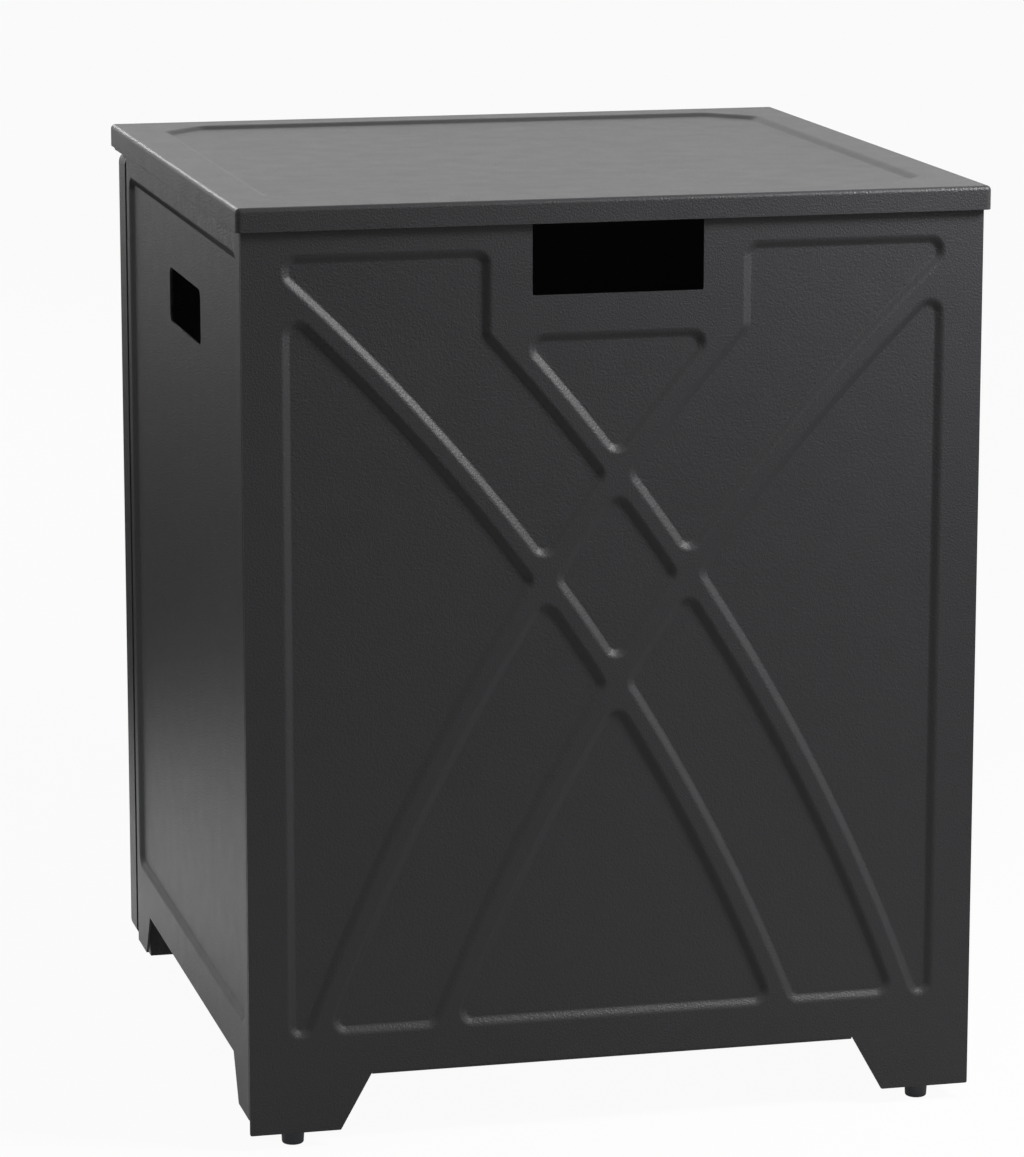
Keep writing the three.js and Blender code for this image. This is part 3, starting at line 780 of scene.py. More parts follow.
class Sheet:
    """A pressed and folded sheet, drawn as its outer face and then thickened inwards."""

    def __init__(self, name: str, place: Place) -> None:
        """Starts an empty sheet.

        Args:
            name: The piece's name.
            place: Takes a point across, up and out of the flat sheet to its place in the frame.
        """
        self.name = name
        self.place = place
        self.mesh = bmesh.new()
        self.outward = (place(0, 0, 1) - place(0, 0, 0)).normalized()

    def row(self, points: Iterable[Point], height: float = 0.0) -> Loop:
        """New vertices at one height."""
        return [self.mesh.verts.new(self.place(u, v, height)) for u, v in points]

    def nearest(self, loop: Loop, point: Point) -> bmesh.types.BMVert:
        """The vertex of a loop that is nearest to a point of the flat sheet."""
        spot = self.place(*point, 0)
        return min(loop, key=lambda vert: (vert.co - spot).length)

    def strips(self, rows: Sequence[Loop]) -> None:
        """Joins closed rows of equal length with faces.

        Args:
            rows: The rows, each one to the left of the row before it.
        """
        for first, second in zip(rows, rows[1:]):
            for i in range(len(first)):
                j = (i + 1) % len(first)
                self.mesh.faces.new((first[i], first[j], second[j], second[i]))

    def cover(self, *loops: Loop) -> None:
        """Fills a flat area.

        Args:
            loops: The outer loop and the loops inside it.
        """
        edges = []
        for loop in loops:
            for i, vert in enumerate(loop):
                pair = (vert, loop[(i + 1) % len(loop)])
                edges.append(self.mesh.edges.get(pair) or self.mesh.edges.new(pair))
        made = bmesh.ops.triangle_fill(self.mesh, use_beauty=True, edges=edges)
        for face in made["geom"]:
            if isinstance(face, bmesh.types.BMFace):
                face.normal_update()
                if face.normal.dot(self.outward) < 0:
                    face.normal_flip()

    def pan(self, half_x: float, half_y: float, depth: float, edge: RolledEdge) -> Loop:
        """Draws a pan's walls and its rounded edge.

        Args:
            half_x: Half the pan's width.
            half_y: Half its height.
            depth: How deep its walls reach.
            edge: Its edge.

        Returns:
            The loop where the edge meets the face.
        """
        box = RoundBox(half_x, half_y, edge.radius + edge.corner_extra, steps=edge.corner_steps)
        rows = [self.row(box.outline(inset), height) for inset, height in edge.profile(depth)]
        self.strips(rows)
        return rows[-1]

    def press(self, outline: Outline, press: Press, holes: Sequence[list[Point]] = ()) -> Loop:
        """Presses a field.

        Args:
            outline: Gives the field's outline at an inset.
            press: How the field is pressed.
            holes: Outlines cut out of the field's floor.

        Returns:
            The loop at the top of its rim.
        """
        rows = [self.row(outline(inset), height) for inset, height in press.rings()]
        self.strips(rows)
        self.cover(rows[-1], *(self.row(hole, -press.depth) for hole in holes))
        return rows[0]

    def fold(self, ends: tuple, towards: Point, radius: float, depth: float, steps: int = 6) -> None:
        """Folds a flange inwards along a straight edge.

        Args:
            ends: The edge's two vertices, counterclockwise round the sheet.
            towards: The direction in the flat sheet in which the fold starts.
            radius: The outer radius of the bend.
            depth: How deep the flange reaches.
            steps: How many chords the bend has.
        """
        angles = [QUARTER * k / steps for k in range(1, steps + 1)]
        profile = [(radius * math.sin(a), radius * (math.cos(a) - 1)) for a in angles]
        profile.append((radius, -depth))
        last, origin = ends, self.place(0, 0, 0)
        for along, height in profile:
            shift = self.place(towards[0] * along, towards[1] * along, height) - origin
            new = tuple(self.mesh.verts.new(end.co + shift) for end in ends)
            self.mesh.faces.new((last[1], last[0], new[0], new[1]))
            last = new

    def piece(self, thickness: float, eased: float = 0.00025) -> bpy.types.Object:
        """Ends the sheet.

        Args:
            thickness: The sheet's thickness.
            eased: How far the cut edges are eased.

        Returns:
            The piece, with its thickness and eased edges as modifiers.
        """
        made = linked(self.name, self.mesh)
        solid = made.modifiers.new("thickness", "SOLIDIFY")
        solid.thickness, solid.offset = thickness, -1.0
        solid.use_even_offset = True
        ease(made, eased)
        return made


def linked(name: str, mesh: bmesh.types.BMesh) -> bpy.types.Object:
    """Turns a finished bmesh into a smooth-shaded object in the scene.

    Args:
        name: The object's name.
        mesh: Its mesh, which is freed.

    Returns:
        The object.
    """
    data = bpy.data.meshes.new(name)
    mesh.to_mesh(data)
    mesh.free()
    data.shade_smooth()
    made = bpy.data.objects.new(name, data)
    bpy.context.scene.collection.objects.link(made)
    return made


def ease(piece: bpy.types.Object, width: float, degrees: float = 48.0) -> None:
    """Eases a piece's sharp edges and lets its flat faces shade flat.

    Args:
        piece: The piece.
        width: How far the edges are eased.
        degrees: The turn from which an edge counts as sharp.
    """
    bevel = piece.modifiers.new("eased_edges", "BEVEL")
    bevel.width, bevel.segments = width, 2
    bevel.limit_method, bevel.angle_limit = "ANGLE", math.radians(degrees)
    normals = piece.modifiers.new("flat_faces", "WEIGHTED_NORMAL")
    normals.keep_sharp = False


def settle(piece: bpy.types.Object, body: str, slot: Slot, node: str) -> None:
    """Gives a piece its finish and its body, and hides the node that it stands for.

    Args:
        piece: The piece.
        body: The body that it moves with.
        slot: What it is made of.
        node: The node that it stands for.
    """
    piece.data.materials.append(FINISH_OF[slot].material())
    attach(piece, body)
    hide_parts(node)
    LOG.info("%s rides on %s", piece.name, body)


def dress(node: str, slot: Slot, eased: float, degrees: float = 35.0) -> None:
    """Gives a node that keeps its own shape its finish and eased edges.

    Args:
        node: The node.
        slot: What it is made of.
        eased: How far its edges are eased.
        degrees: The turn from which an edge counts as sharp.
    """
    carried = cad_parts[node]
    finish = FINISH_OF[slot].material()
    for held in carried.material_slots:
        held.material = finish
    if not carried.material_slots:
        carried.data.materials.append(finish)
    ease(carried, eased, degrees)
    LOG.info("%s keeps its shape", node)


# Turned and threaded hardware


class Way(Enum):
    """The direction in which a turned piece's own height points."""

    UP = "up"
    DOWN = "down"
    FRONT = "front"
    BACK = "back"

    def matrix(self) -> Matrix:
        """The turn from +Z to this direction."""
        turns = {Way.UP: 0.0, Way.DOWN: math.pi, Way.FRONT: QUARTER, Way.BACK: -QUARTER}
        return Matrix.Rotation(turns[self], 4, "X")


def span(node: str, way: Way) -> tuple[Vector, float]:
    """Measures a node along its axis.

    Args:
        node: The node.
        way: The direction of the axis.

    Returns:
        Where the axis starts, and how long it is.
    """
    low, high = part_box(node)
    middle = (low + high) / 2
    if way in (Way.UP, Way.DOWN):
        return Vector((middle.x, middle.y, low.z if way is Way.UP else high.z)), high.z - low.z
    return Vector((middle.x, low.y if way is Way.BACK else high.y, middle.z)), high.y - low.y


class Turned:
    """A mesh of rings about an axis, drawn upright and then set in its place."""

    def __init__(self) -> None:
        """Starts without a ring."""
        self.mesh = bmesh.new()
        self.rows = []

    def point(self, height: float) -> None:
        """Adds a ring that is one point of the axis."""
        self.rows.append([self.mesh.verts.new((0, 0, height))])

    def ring(self, radii: Sequence[float], heights: Sequence[float], turn: float = 0.0) -> None:
        """Adds a ring of equally spaced points.

        Args:
            radii: How far each point is from the axis.
            heights: How high each point is.
            turn: How far the first point is turned from +X.
        """
        angles = [WHOLE_TURN * k / len(radii) + turn for k in range(len(radii))]
        places = [(r * math.cos(a), r * math.sin(a), z) for a, r, z in zip(angles, radii, heights)]
        self.rows.append([self.mesh.verts.new(place) for place in places])

    def piece(self, name: str, foot: Vector, way: Way, closed: bool = False) -> bpy.types.Object:
        """Joins the rings into a skin that faces outwards.

        Args:
            name: The piece's name.
            foot: Where height 0 of its axis lies.
            way: Where its axis points.
            closed: Whether the last ring is joined to the first.

        Returns:
            The piece.
        """
        rows = self.rows + self.rows[:1] if closed else self.rows
        for low, high in zip(rows, rows[1:]):
            for i in range(max(len(low), len(high))):
                around = ((low, i), (low, i + 1), (high, i + 1), (high, i))
                corners = [row[k % len(row)] for row, k in around]
                self.mesh.faces.new(list(dict.fromkeys(corners)))
        self.mesh.transform(Matrix.Translation(foot) @ way.matrix())
        return linked(name, self.mesh)


def lathe(
    name: str, profile: Sequence[Point], foot: Vector, way: Way, eased: float, sides: int = 40
) -> bpy.types.Object:
    """Makes a turned piece.

    Args:
        name: The piece's name.
        profile: Its radius and height from the lowest point on the axis to the highest.
        foot: Where height 0 of its axis lies.
        way: Where its axis points.
        eased: How far its edges are eased.
        sides: How many sides it has.

    Returns:
        The piece.
    """
    turned = Turned()
    for radius, height in profile:
        if radius == 0:
            turned.point(height)
        else:
            turned.ring([radius] * sides, [height] * sides)
    made = turned.piece(name, foot, way)
    ease(made, eased, 30.0)
    return made


@dataclass(frozen=True)
class Headed:
    """A screw or pin with a domed head at its upper end.

    Attributes:
        radius: The shank's radius.
        head_radius: The head's radius.
        head_height: The head's height.
        threaded: Whether the shank has a thread.
        pitch: The rise of one turn of the thread.
        root: The radius between two threads, as a share of the shank's.
        tip_radius: The radius at the tip, as a share of the shank's.
        tip_length: The length of the tip, as a share of the shank's radius.
        rim: The height of the head's upright rim, as a share of the head's.
        narrowing: How far the dome narrows, as a share of the head's radius.
        dome_steps: How many chords the dome has.
        drive_radius: The radius of the drive at the top, as a share of the head's.
        drive_floor: The same at its floor.
        drive_depth: The depth of the drive, as a share of the head's height.
        drive_point: How deep the drive's middle is, as a share of that depth.
        eased: How far the edges are eased.
    """

    radius: float
    head_radius: float
    head_height: float
    threaded: bool = True
    pitch: float = 0.0007
    root: float = 0.86
    tip_radius: float = 0.7
    tip_length: float = 0.35
    rim: float = 0.35
    narrowing: float = 0.55
    dome_steps: int = 5
    drive_radius: float = 0.3
    drive_floor: float = 0.22
    drive_depth: float = 0.45
    drive_point: float = 1.2
    eased: float = 0.00008

    def profile(self, length: float) -> list[Point]:
        """Draws the piece from its tip to the middle of its drive.

        Args:
            length: How long it is.

        Returns:
            The radius and height of each ring.
        """
        shank, tip = length - self.head_height, self.radius * self.tip_length
        points = [(0.0, 0.0), (self.radius * self.tip_radius, 0.0), (self.radius, tip)]
        for k in range(int((shank - 2 * tip) / self.pitch) if self.threaded else 0):
            start = tip + k * self.pitch
            points += [(self.radius * self.root, start + self.pitch / 2), (self.radius, start + self.pitch)]
        points += [(self.radius, shank), (self.head_radius, shank)]
        for k in range(self.dome_steps + 1):
            angle = QUARTER * k / self.dome_steps
            reach = self.head_radius * (1 - self.narrowing * (1 - math.cos(angle)))
            rise = self.head_height * (self.rim + (1 - self.rim) * math.sin(angle))
            points.append((reach, shank + rise))
        dip = self.head_height * self.drive_depth
        points.append((self.head_radius * self.drive_radius, length))
        points.append((self.head_radius * self.drive_floor, length - dip))
        points.append((0.0, length - dip * self.drive_point))
        return points

    def stand_for(self, node: str, body: str, way: Way) -> None:
        """Builds the piece in a node's place.

        Args:
            node: The node.
            body: The body that it moves with.
            way: Where its head points.
        """
        foot, length = span(node, way)
        piece = lathe(f"{node}_turned", self.profile(length), foot, way, self.eased)
        settle(piece, body, Slot.ZINC, node)


@dataclass(frozen=True)
class Threaded:
    """A threaded stud with a true helix.

    Attributes:
        radius: The radius over the thread.
        pitch: The rise of one turn.
        cut: The thread's depth.
        sides: How many sides it has.
        rows_a_turn: How many rows of points a turn has.
    """

    radius: float
    pitch: float
    cut: float
    sides: int = 20
    rows_a_turn: int = 6

    def piece(self, name: str, foot: Vector, way: Way, start: float, stop: float) -> bpy.types.Object:
        """Builds the stud.

        Args:
            name: The piece's name.
            foot: The point of its axis that heights are measured from.
            way: Where its axis points.
            start: How high it starts.
            stop: How high it ends.

        Returns:
            The piece.
        """
        turned = Turned()
        turned.point(start)
        count = int((stop - start) / self.pitch * self.rows_a_turn)
        for k in range(count + 1):
            height = start + (stop - start) * k / count
            fade = min(1.0, k / self.rows_a_turn, (count - k) / self.rows_a_turn)
            radii = []
            for i in range(self.sides):
                phase = (height / self.pitch - i / self.sides) % 1
                groove = self.cut * (1 - abs(2 * phase - 1))
                radii.append(self.radius - self.cut * (1 - fade) - groove * fade)
            turned.ring(radii, [height] * self.sides)
        turned.point(stop)
        return turned.piece(name, foot, way)


@dataclass(frozen=True)
class HexNut:
    """A hexagonal nut with chamfered corners.

    Attributes:
        across: The distance between two flats.
        bore: The radius of its hole.
        washer: The radius of its flat ends, as a share of half that distance.
        chamfer: How steeply its corners fall away, in degrees.
        lead: The size of the chamfer in its hole, as a share of the bore.
        samples: How many points go round it.
        eased: How far its edges are eased.
    """

    across: float
    bore: float
    washer: float = 0.98
    chamfer: float = 30.0
    lead: float = 0.12
    samples: int = 72
    eased: float = 0.00006

    def stand_for(self, node: str, body: str, way: Way) -> None:
        """Builds the nut in a node's place.

        Args:
            node: The node.
            body: The body that it moves with.
            way: Where its axis points.
        """
        foot, height = span(node, way)
        half, side = self.across / 2, WHOLE_TURN / 6
        turn = QUARTER if way in (Way.UP, Way.DOWN) else 0.0
        angles = [WHOLE_TURN * k / self.samples for k in range(self.samples)]
        corners = [half / math.cos((a + side / 2) % side - side / 2) for a in angles]
        slope = math.tan(math.radians(self.chamfer))
        falls = [max(0.0, corner - half * self.washer) * slope for corner in corners]
        flat, bore, lead = half * self.washer, self.bore, self.bore * self.lead
        turned = Turned()
        for radius, level in ((bore, lead), (bore + lead, 0.0), (flat, 0.0)):
            turned.ring([radius] * self.samples, [level] * self.samples, turn)
        turned.ring(corners, falls, turn)
        turned.ring(corners, [height - fall for fall in falls], turn)
        for radius, level in ((flat, height), (bore + lead, height), (bore, height - lead)):
            turned.ring([radius] * self.samples, [level] * self.samples, turn)
        piece = turned.piece(f"{node}_turned", foot, way, closed=True)
        ease(piece, self.eased, 20.0)
        settle(piece, body, Slot.ZINC, node)


# Sub-assemblies


@dataclass
class Lid:
    """The lift-off top: a pressed pan with a recess, and an angle inside each side lip.

    Attributes:
        half: Half its width and depth.
        height: How high its face lies.
        lip: How far its lip reaches down.
        sheet: The thickness of the sheet.
        eased: How far cut edges are eased.
        edge: Its rounded edge.
        border: The width of the land round the recess.
        chamfer: What is cut off the recess's corners along each side.
        corner_radius: The radius at the ends of these cuts.
        recess: How the recess is pressed.
    """

    half: float = field(init=False)
    height: float = field(init=False)
    lip: float = field(init=False)
    sheet: float = 0.001
    eased: float = 0.0002
    edge: RolledEdge = RolledEdge(0.0025, 0.0005, 6)
    border: float = 0.0265
    chamfer: float = 0.024
    corner_radius: float = 0.009
    recess: Press = Press(0.002, 0.0045, 0.0025, 1.3, 12)

    def __post_init__(self) -> None:
        """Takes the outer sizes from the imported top."""
        low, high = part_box("lid")
        self.half, self.height, self.lip = high.x, high.z, high.z - low.z

    def recess_outline(self, inset: float) -> list[Point]:
        """Draws the square recess with its cut corners.

        Args:
            inset: How far it is drawn in.

        Returns:
            Its outline.
        """
        far = self.half - self.border
        near = far - self.chamfer
        corners = [
            (near, -far), (far, -near), (far, near), (near, far),
            (-near, far), (-far, near), (-far, -near), (-near, -far),
        ]
        return rounded(corners, [self.corner_radius] * len(corners), inset)

    def pan(self) -> bpy.types.Object:
        """Builds the pressed pan.

        Returns:
            The pan.
        """
        sheet = Sheet("top_pan", lambda u, v, h: Vector((u, v, self.height + h)))
        rim = sheet.pan(self.half, self.half, self.lip, self.edge)
        sheet.cover(rim, sheet.press(self.recess_outline, self.recess))
        return sheet.piece(self.sheet, self.eased)

    def build(self) -> None:
        """Builds the pan and dresses its two angles."""
        settle(self.pan(), "lid", Slot.PAINT, "lid")
        for side in ("left", "right"):
            dress(f"lid_stiffener_{side}", Slot.PAINT, self.eased)


@dataclass(frozen=True)
class Relief:
    """The lines of the front's pressed fields, in shares of the panel's width.

    Attributes:
        border: From the panel's side to the fields.
        ground: How high the fields start.
        ceiling: How high they end.
        block_width: The width of the plain block round the hose opening.
        block_bottom: How high that block starts.
        centre_out: How far the bands' centres lie from the middle line.
        centre_drop: How far they lie below the floor.
        band_width: The width of a band.
        outer_band: The radius of the outer band's middle.
        inner_band: The radius of the inner band's middle.
    """

    border: float = 0.0596
    ground: float = 0.1598
    ceiling: float = 1.19
    block_width: float = 0.3539
    block_bottom: float = 1.0771
    centre_out: float = 2.3527
    centre_drop: float = 0.881
    band_width: float = 0.031
    outer_band: float = 2.7865
    inner_band: float = 2.9468


@dataclass
class FrontPanel:
    """The pressed front with its crossing bands, hose opening and folded edges.

    Attributes:
        half: Half its width.
        face: How far in front of the middle its face lies.
        foot: How high its feet start.
        top: How high its top lies.
        flange: How deep its flanges reach.
        sheet: The thickness of the sheet.
        relief: The lines of the pressed fields.
        foot_width: The width of a foot at the bottom.
        foot_top_width: The same where it meets the apron.
        foot_radius: The radius of a foot's tips.
        apron: How high the sheet starts between the feet.
        hose_width: The width of the hose opening.
        hose_depth: How far the opening reaches down.
        hose_radius: The radius of its lower corners.
        bend: The outer radius of the bends.
        corner_relief: The gap between two flanges that meet at a corner.
        corner_radius: The radius of the fields' corners.
        tip_radius: The same at the sharp tips of the side fields.
        edge_steps: How many chords a rounded corner of the sheet has.
        press: How the fields are pressed.
    """

    half: float = field(init=False)
    face: float = field(init=False)
    foot: float = field(init=False)
    top: float = field(init=False)
    flange: float = field(init=False)
    sheet: float = 0.0012
    relief: Relief = Relief()
    foot_width: float = 0.0495
    foot_top_width: float = 0.066
    foot_radius: float = 0.001
    apron: float = 0.0385
    hose_width: float = 0.093
    hose_depth: float = 0.0485
    hose_radius: float = 0.0012
    bend: float = 0.002
    corner_relief: float = 0.0015
    corner_radius: float = 0.0055
    tip_radius: float = 0.0045
    edge_steps: int = 4
    press: Press = Press()

    def __post_init__(self) -> None:
        """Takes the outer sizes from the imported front."""
        low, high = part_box("front_panel")
        self.half, self.face, self.flange = high.x, -low.y, high.y - low.y
        self.foot, self.top = low.z, high.z

    def fields(self) -> tuple[list[CurvedField], list[CurvedField]]:
        """Works out the pressed fields between the bands.

        Returns:
            The fields on the left, which the right side mirrors, and those on the middle line.
        """
        lines, width = self.relief, 2 * self.half
        outer, inner = (
            {k: width * (middle + k * lines.band_width / 2) for k in (-1, 1)}
            for middle in (lines.outer_band, lines.inner_band)
        )
        drop = width * lines.centre_drop

        def ring(side: int, radius: float, keep: int) -> Edge:
            """A ring centred on the left with a side of -1 and on the right with 1."""
            return Edge(Line.RING, radius, keep, side * width * lines.centre_out, drop)

        def level(share: float, keep: int) -> Edge:
            """A level edge as high as a share of the panel's width."""
            return Edge(Line.LEVEL, width * share, keep, 0.0, drop)

        def upright(x: float, keep: int) -> Edge:
            """An upright edge at a place across."""
            return Edge(Line.UPRIGHT, x, keep, 0.0, drop)

        def between(*edges: Edge, tip: int = -1) -> CurvedField:
            """The field between some edges, with its sharp tip where the edge of that number starts."""
            radii = [self.tip_radius if i == tip else self.corner_radius for i in range(len(edges))]
            return CurvedField(edges, tuple(radii))

        border, ground = upright(width * lines.border - self.half, -1), level(lines.ground, -1)
        top_left = between(
            level(lines.ceiling, 1), border, ring(-1, outer[1], -1), ring(1, inner[1], -1),
            ring(-1, inner[-1], 1), upright(-width * lines.block_width / 2, 1),
        )
        side_left = between(border, ring(1, inner[1], -1), ring(-1, outer[-1], 1), tip=1)
        low_left = between(ring(1, inner[-1], 1), ground, ring(1, outer[1], -1), ring(-1, outer[-1], 1))
        under_hose = between(level(lines.block_bottom, 1), ring(-1, inner[1], -1), ring(1, inner[1], -1))
        diamond = between(
            ring(1, inner[-1], 1), ring(-1, outer[1], -1), ring(1, outer[1], -1), ring(-1, inner[-1], 1)
        )
        low_middle = between(ring(1, outer[-1], 1), ground, ring(-1, outer[-1], 1))
        return [top_left, side_left, low_left], [under_hose, diamond, low_middle]

    def outlines(self) -> list[Outline]:
        """Lists the outlines of all fields, those on the right mirrored from the left.

        Returns:
            Each outline as a function of the inset.
        """

        def mirrored(pressed: CurvedField) -> Outline:
            """The outline of a field on the left as it lies on the right."""
            return lambda inset: [(-x, z) for x, z in reversed(pressed.outline(inset))]

        sided, middle = self.fields()
        made = []
        for pressed in sided:
            made += [pressed.outline, mirrored(pressed)]
        return made + [pressed.outline for pressed in middle]

    def panel(self) -> bpy.types.Object:
        """Builds the pressed and folded panel.

        Returns:
            The panel.
        """
        foot, end = self.half - self.foot_width, self.half - self.foot_top_width
        lift, shoulder = self.apron + self.bend, self.top - self.bend
        end -= (foot - end) * self.bend / (self.apron - self.foot)
        hose, hose_bottom = self.hose_width / 2, self.top - self.hose_depth
        flange_end = self.half - self.sheet - self.corner_relief
        drawn = [
            (end, lift, 0.0), (foot, self.foot, self.foot_radius), (self.half, self.foot, self.foot_radius),
            (self.half, self.top, 0.0), (flange_end, self.top, 0.0), (flange_end, shoulder, 0.0),
            (hose, shoulder, 0.0), (hose, hose_bottom, self.hose_radius),
        ]
        corners = [(u, v) for u, v, _ in drawn] + [(-u, v) for u, v, _ in reversed(drawn)]
        radii = [radius for _, _, radius in drawn + drawn[::-1]]
        sheet = Sheet("front_sheet", lambda u, v, h: Vector((u, -self.face - h, v)))
        outer = sheet.row(rounded(corners, radii, 0.0, self.edge_steps))
        for first, second, towards in (
            ((-end, lift), (end, lift), (0, -1)),
            ((flange_end, shoulder), (hose, shoulder), (0, 1)),
            ((-hose, shoulder), (-flange_end, shoulder), (0, 1)),
        ):
            ends = (sheet.nearest(outer, first), sheet.nearest(outer, second))
            sheet.fold(ends, towards, self.bend, self.flange)
        sheet.cover(outer, *(sheet.press(outline, self.press) for outline in self.outlines()))
        return sheet.piece(self.sheet)

    def build(self) -> None:
        """Builds the front."""
        settle(self.panel(), "cabinet", Slot.PAINT, "front_panel")


@dataclass
class SidePanel:
    """A side of the cabinet: a folded channel with a pressed field, a hand hole and two feet.

    Attributes:
        side: -1 for the left side and 1 for the right.
        name: What the side is called.
        face: How far from the middle its face lies.
        front: Where its front end lies.
        rear: Where its rear end lies.
        foot: How high its feet start.
        top: How high its top lies.
        corner_flange: How deep its upright flanges reach.
        sheet: The thickness of the sheet.
        bend: The outer radius of the upright bends.
        edge_bend: The same of the level bends.
        edge_flange: How deep the level flanges reach.
        corner_relief: The gap between two flanges that meet at a corner.
        rear_flange_drop: How far below the top the rear flange ends, for the door's hinge.
        foot_width: The width of a foot at the bottom.
        foot_top_width: The same where it meets the apron.
        foot_radius: The radius of a foot's inner tip.
        apron: How high the sheet starts between the feet.
        pressed_border: From the ends of the panel to the pressed field.
        pressed_bottom: How high the field starts.
        pressed_drop: How far below the top it ends.
        pressed_radius: The radius of its corners.
        hand_width: The width of the hand hole.
        hand_height: The height of the hand hole.
        hand_drop: How far below the top the hole starts.
        hand_radius: The radius of the hole's corners.
        hand_steps: How many chords each of these corners has.
        edge_steps: How many chords a rounded corner of the sheet has.
        press: How the field is pressed.
    """

    side: int
    name: str = field(init=False)
    face: float = field(init=False)
    front: float = field(init=False)
    rear: float = field(init=False)
    foot: float = field(init=False)
    top: float = field(init=False)
    corner_flange: float = field(init=False)
    sheet: float = 0.0012
    bend: float = 0.0025
    edge_bend: float = 0.002
    edge_flange: float = 0.0152
    corner_relief: float = 0.0015
    rear_flange_drop: float = 0.0155
    foot_width: float = 0.032
    foot_top_width: float = 0.045
    foot_radius: float = 0.001
    apron: float = 0.041
    pressed_border: float = 0.0135
    pressed_bottom: float = 0.069
    pressed_drop: float = 0.026
    pressed_radius: float = 0.0065
    hand_width: float = 0.098
    hand_height: float = 0.031
    hand_drop: float = 0.0595
    hand_radius: float = 0.005
    hand_steps: int = 6
    edge_steps: int = 4
    press: Press = Press()

    def __post_init__(self) -> None:
        """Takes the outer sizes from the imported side."""
        self.name = "left" if self.side < 0 else "right"
        low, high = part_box(f"{self.name}_panel")
        self.face, self.corner_flange = max(-low.x, high.x), high.x - low.x
        self.front, self.rear, self.foot, self.top = low.y, high.y, low.z, high.z

    def place(self, across: float, up: float, out: float) -> Vector:
        """A point of the flat panel, seen from outside, in the frame."""
        middle = (self.front + self.rear) / 2
        return Vector((self.side * (self.face + out), middle + self.side * across, up))

    def folded(self, sheet: Sheet) -> Loop:
        """Draws the panel's outer edge and folds its flanges.

        Args:
            sheet: The panel's sheet.

        Returns:
            The loop of the outer edge.
        """
        half = (self.rear - self.front) / 2
        reach = half - self.bend
        foot, end = half - self.foot_width, half - self.foot_top_width
        lift, shoulder = self.apron + self.edge_bend, self.top - self.edge_bend
        end -= (foot - end) * self.edge_bend / (self.apron - self.foot)
        front_top = self.top - self.sheet - self.corner_relief
        front_reach = half - self.edge_flange - self.corner_relief
        rear_top = self.top - self.rear_flange_drop
        # Drawn with the front end at the right and mirrored where it lies at the left
        drawn = [
            (-reach, self.foot), (-foot, self.foot), (-end, lift), (end, lift), (foot, self.foot),
            (reach, self.foot), (reach, front_top), (front_reach, front_top), (front_reach, shoulder),
            (-reach, shoulder), (-reach, rear_top),
        ]
        radii = [self.foot_radius if abs(u) == foot else 0.0 for u, _ in drawn]
        folds = [
            ((-end, lift), (end, lift), (0, -1), self.edge_bend, self.edge_flange),
            ((reach, self.foot), (reach, front_top), (1, 0), self.bend, self.corner_flange),
            ((front_reach, shoulder), (-reach, shoulder), (0, 1), self.edge_bend, self.edge_flange),
            ((-reach, rear_top), (-reach, self.foot), (-1, 0), self.bend, self.corner_flange),
        ]
        flip = -self.side
        corners = [(flip * u, v) for u, v in drawn]
        if flip < 0:
            corners.reverse()
            radii.reverse()
        outer = sheet.row(rounded(corners, radii, 0.0, self.edge_steps))
        for first, second, towards, radius, depth in folds:
            ends = [sheet.nearest(outer, (flip * u, v)) for u, v in (first, second)]
            sheet.fold(tuple(ends[::flip]), (flip * towards[0], towards[1]), radius, depth)
        return outer

    def panel(self) -> bpy.types.Object:
        """Builds the folded and pressed panel.

        Returns:
            The panel.
        """
        sheet = Sheet(f"{self.name}_sheet", self.place)
        outer = self.folded(sheet)
        hand_middle = self.top - self.hand_drop - self.hand_height / 2
        hand = RoundBox(
            self.hand_width / 2, self.hand_height / 2, self.hand_radius, (0, hand_middle), self.hand_steps
        )
        half = (self.rear - self.front) / 2 - self.pressed_border
        half_height = (self.top - self.pressed_drop - self.pressed_bottom) / 2
        middle = (0, self.pressed_bottom + half_height)
        pressed = RoundBox(half, half_height, self.pressed_radius, middle)
        sheet.cover(outer, sheet.press(pressed.outline, self.press, [hand.outline()]))
        return sheet.piece(self.sheet)

    def build(self) -> None:
        """Builds the panel."""
        settle(self.panel(), "cabinet", Slot.PAINT, f"{self.name}_panel")


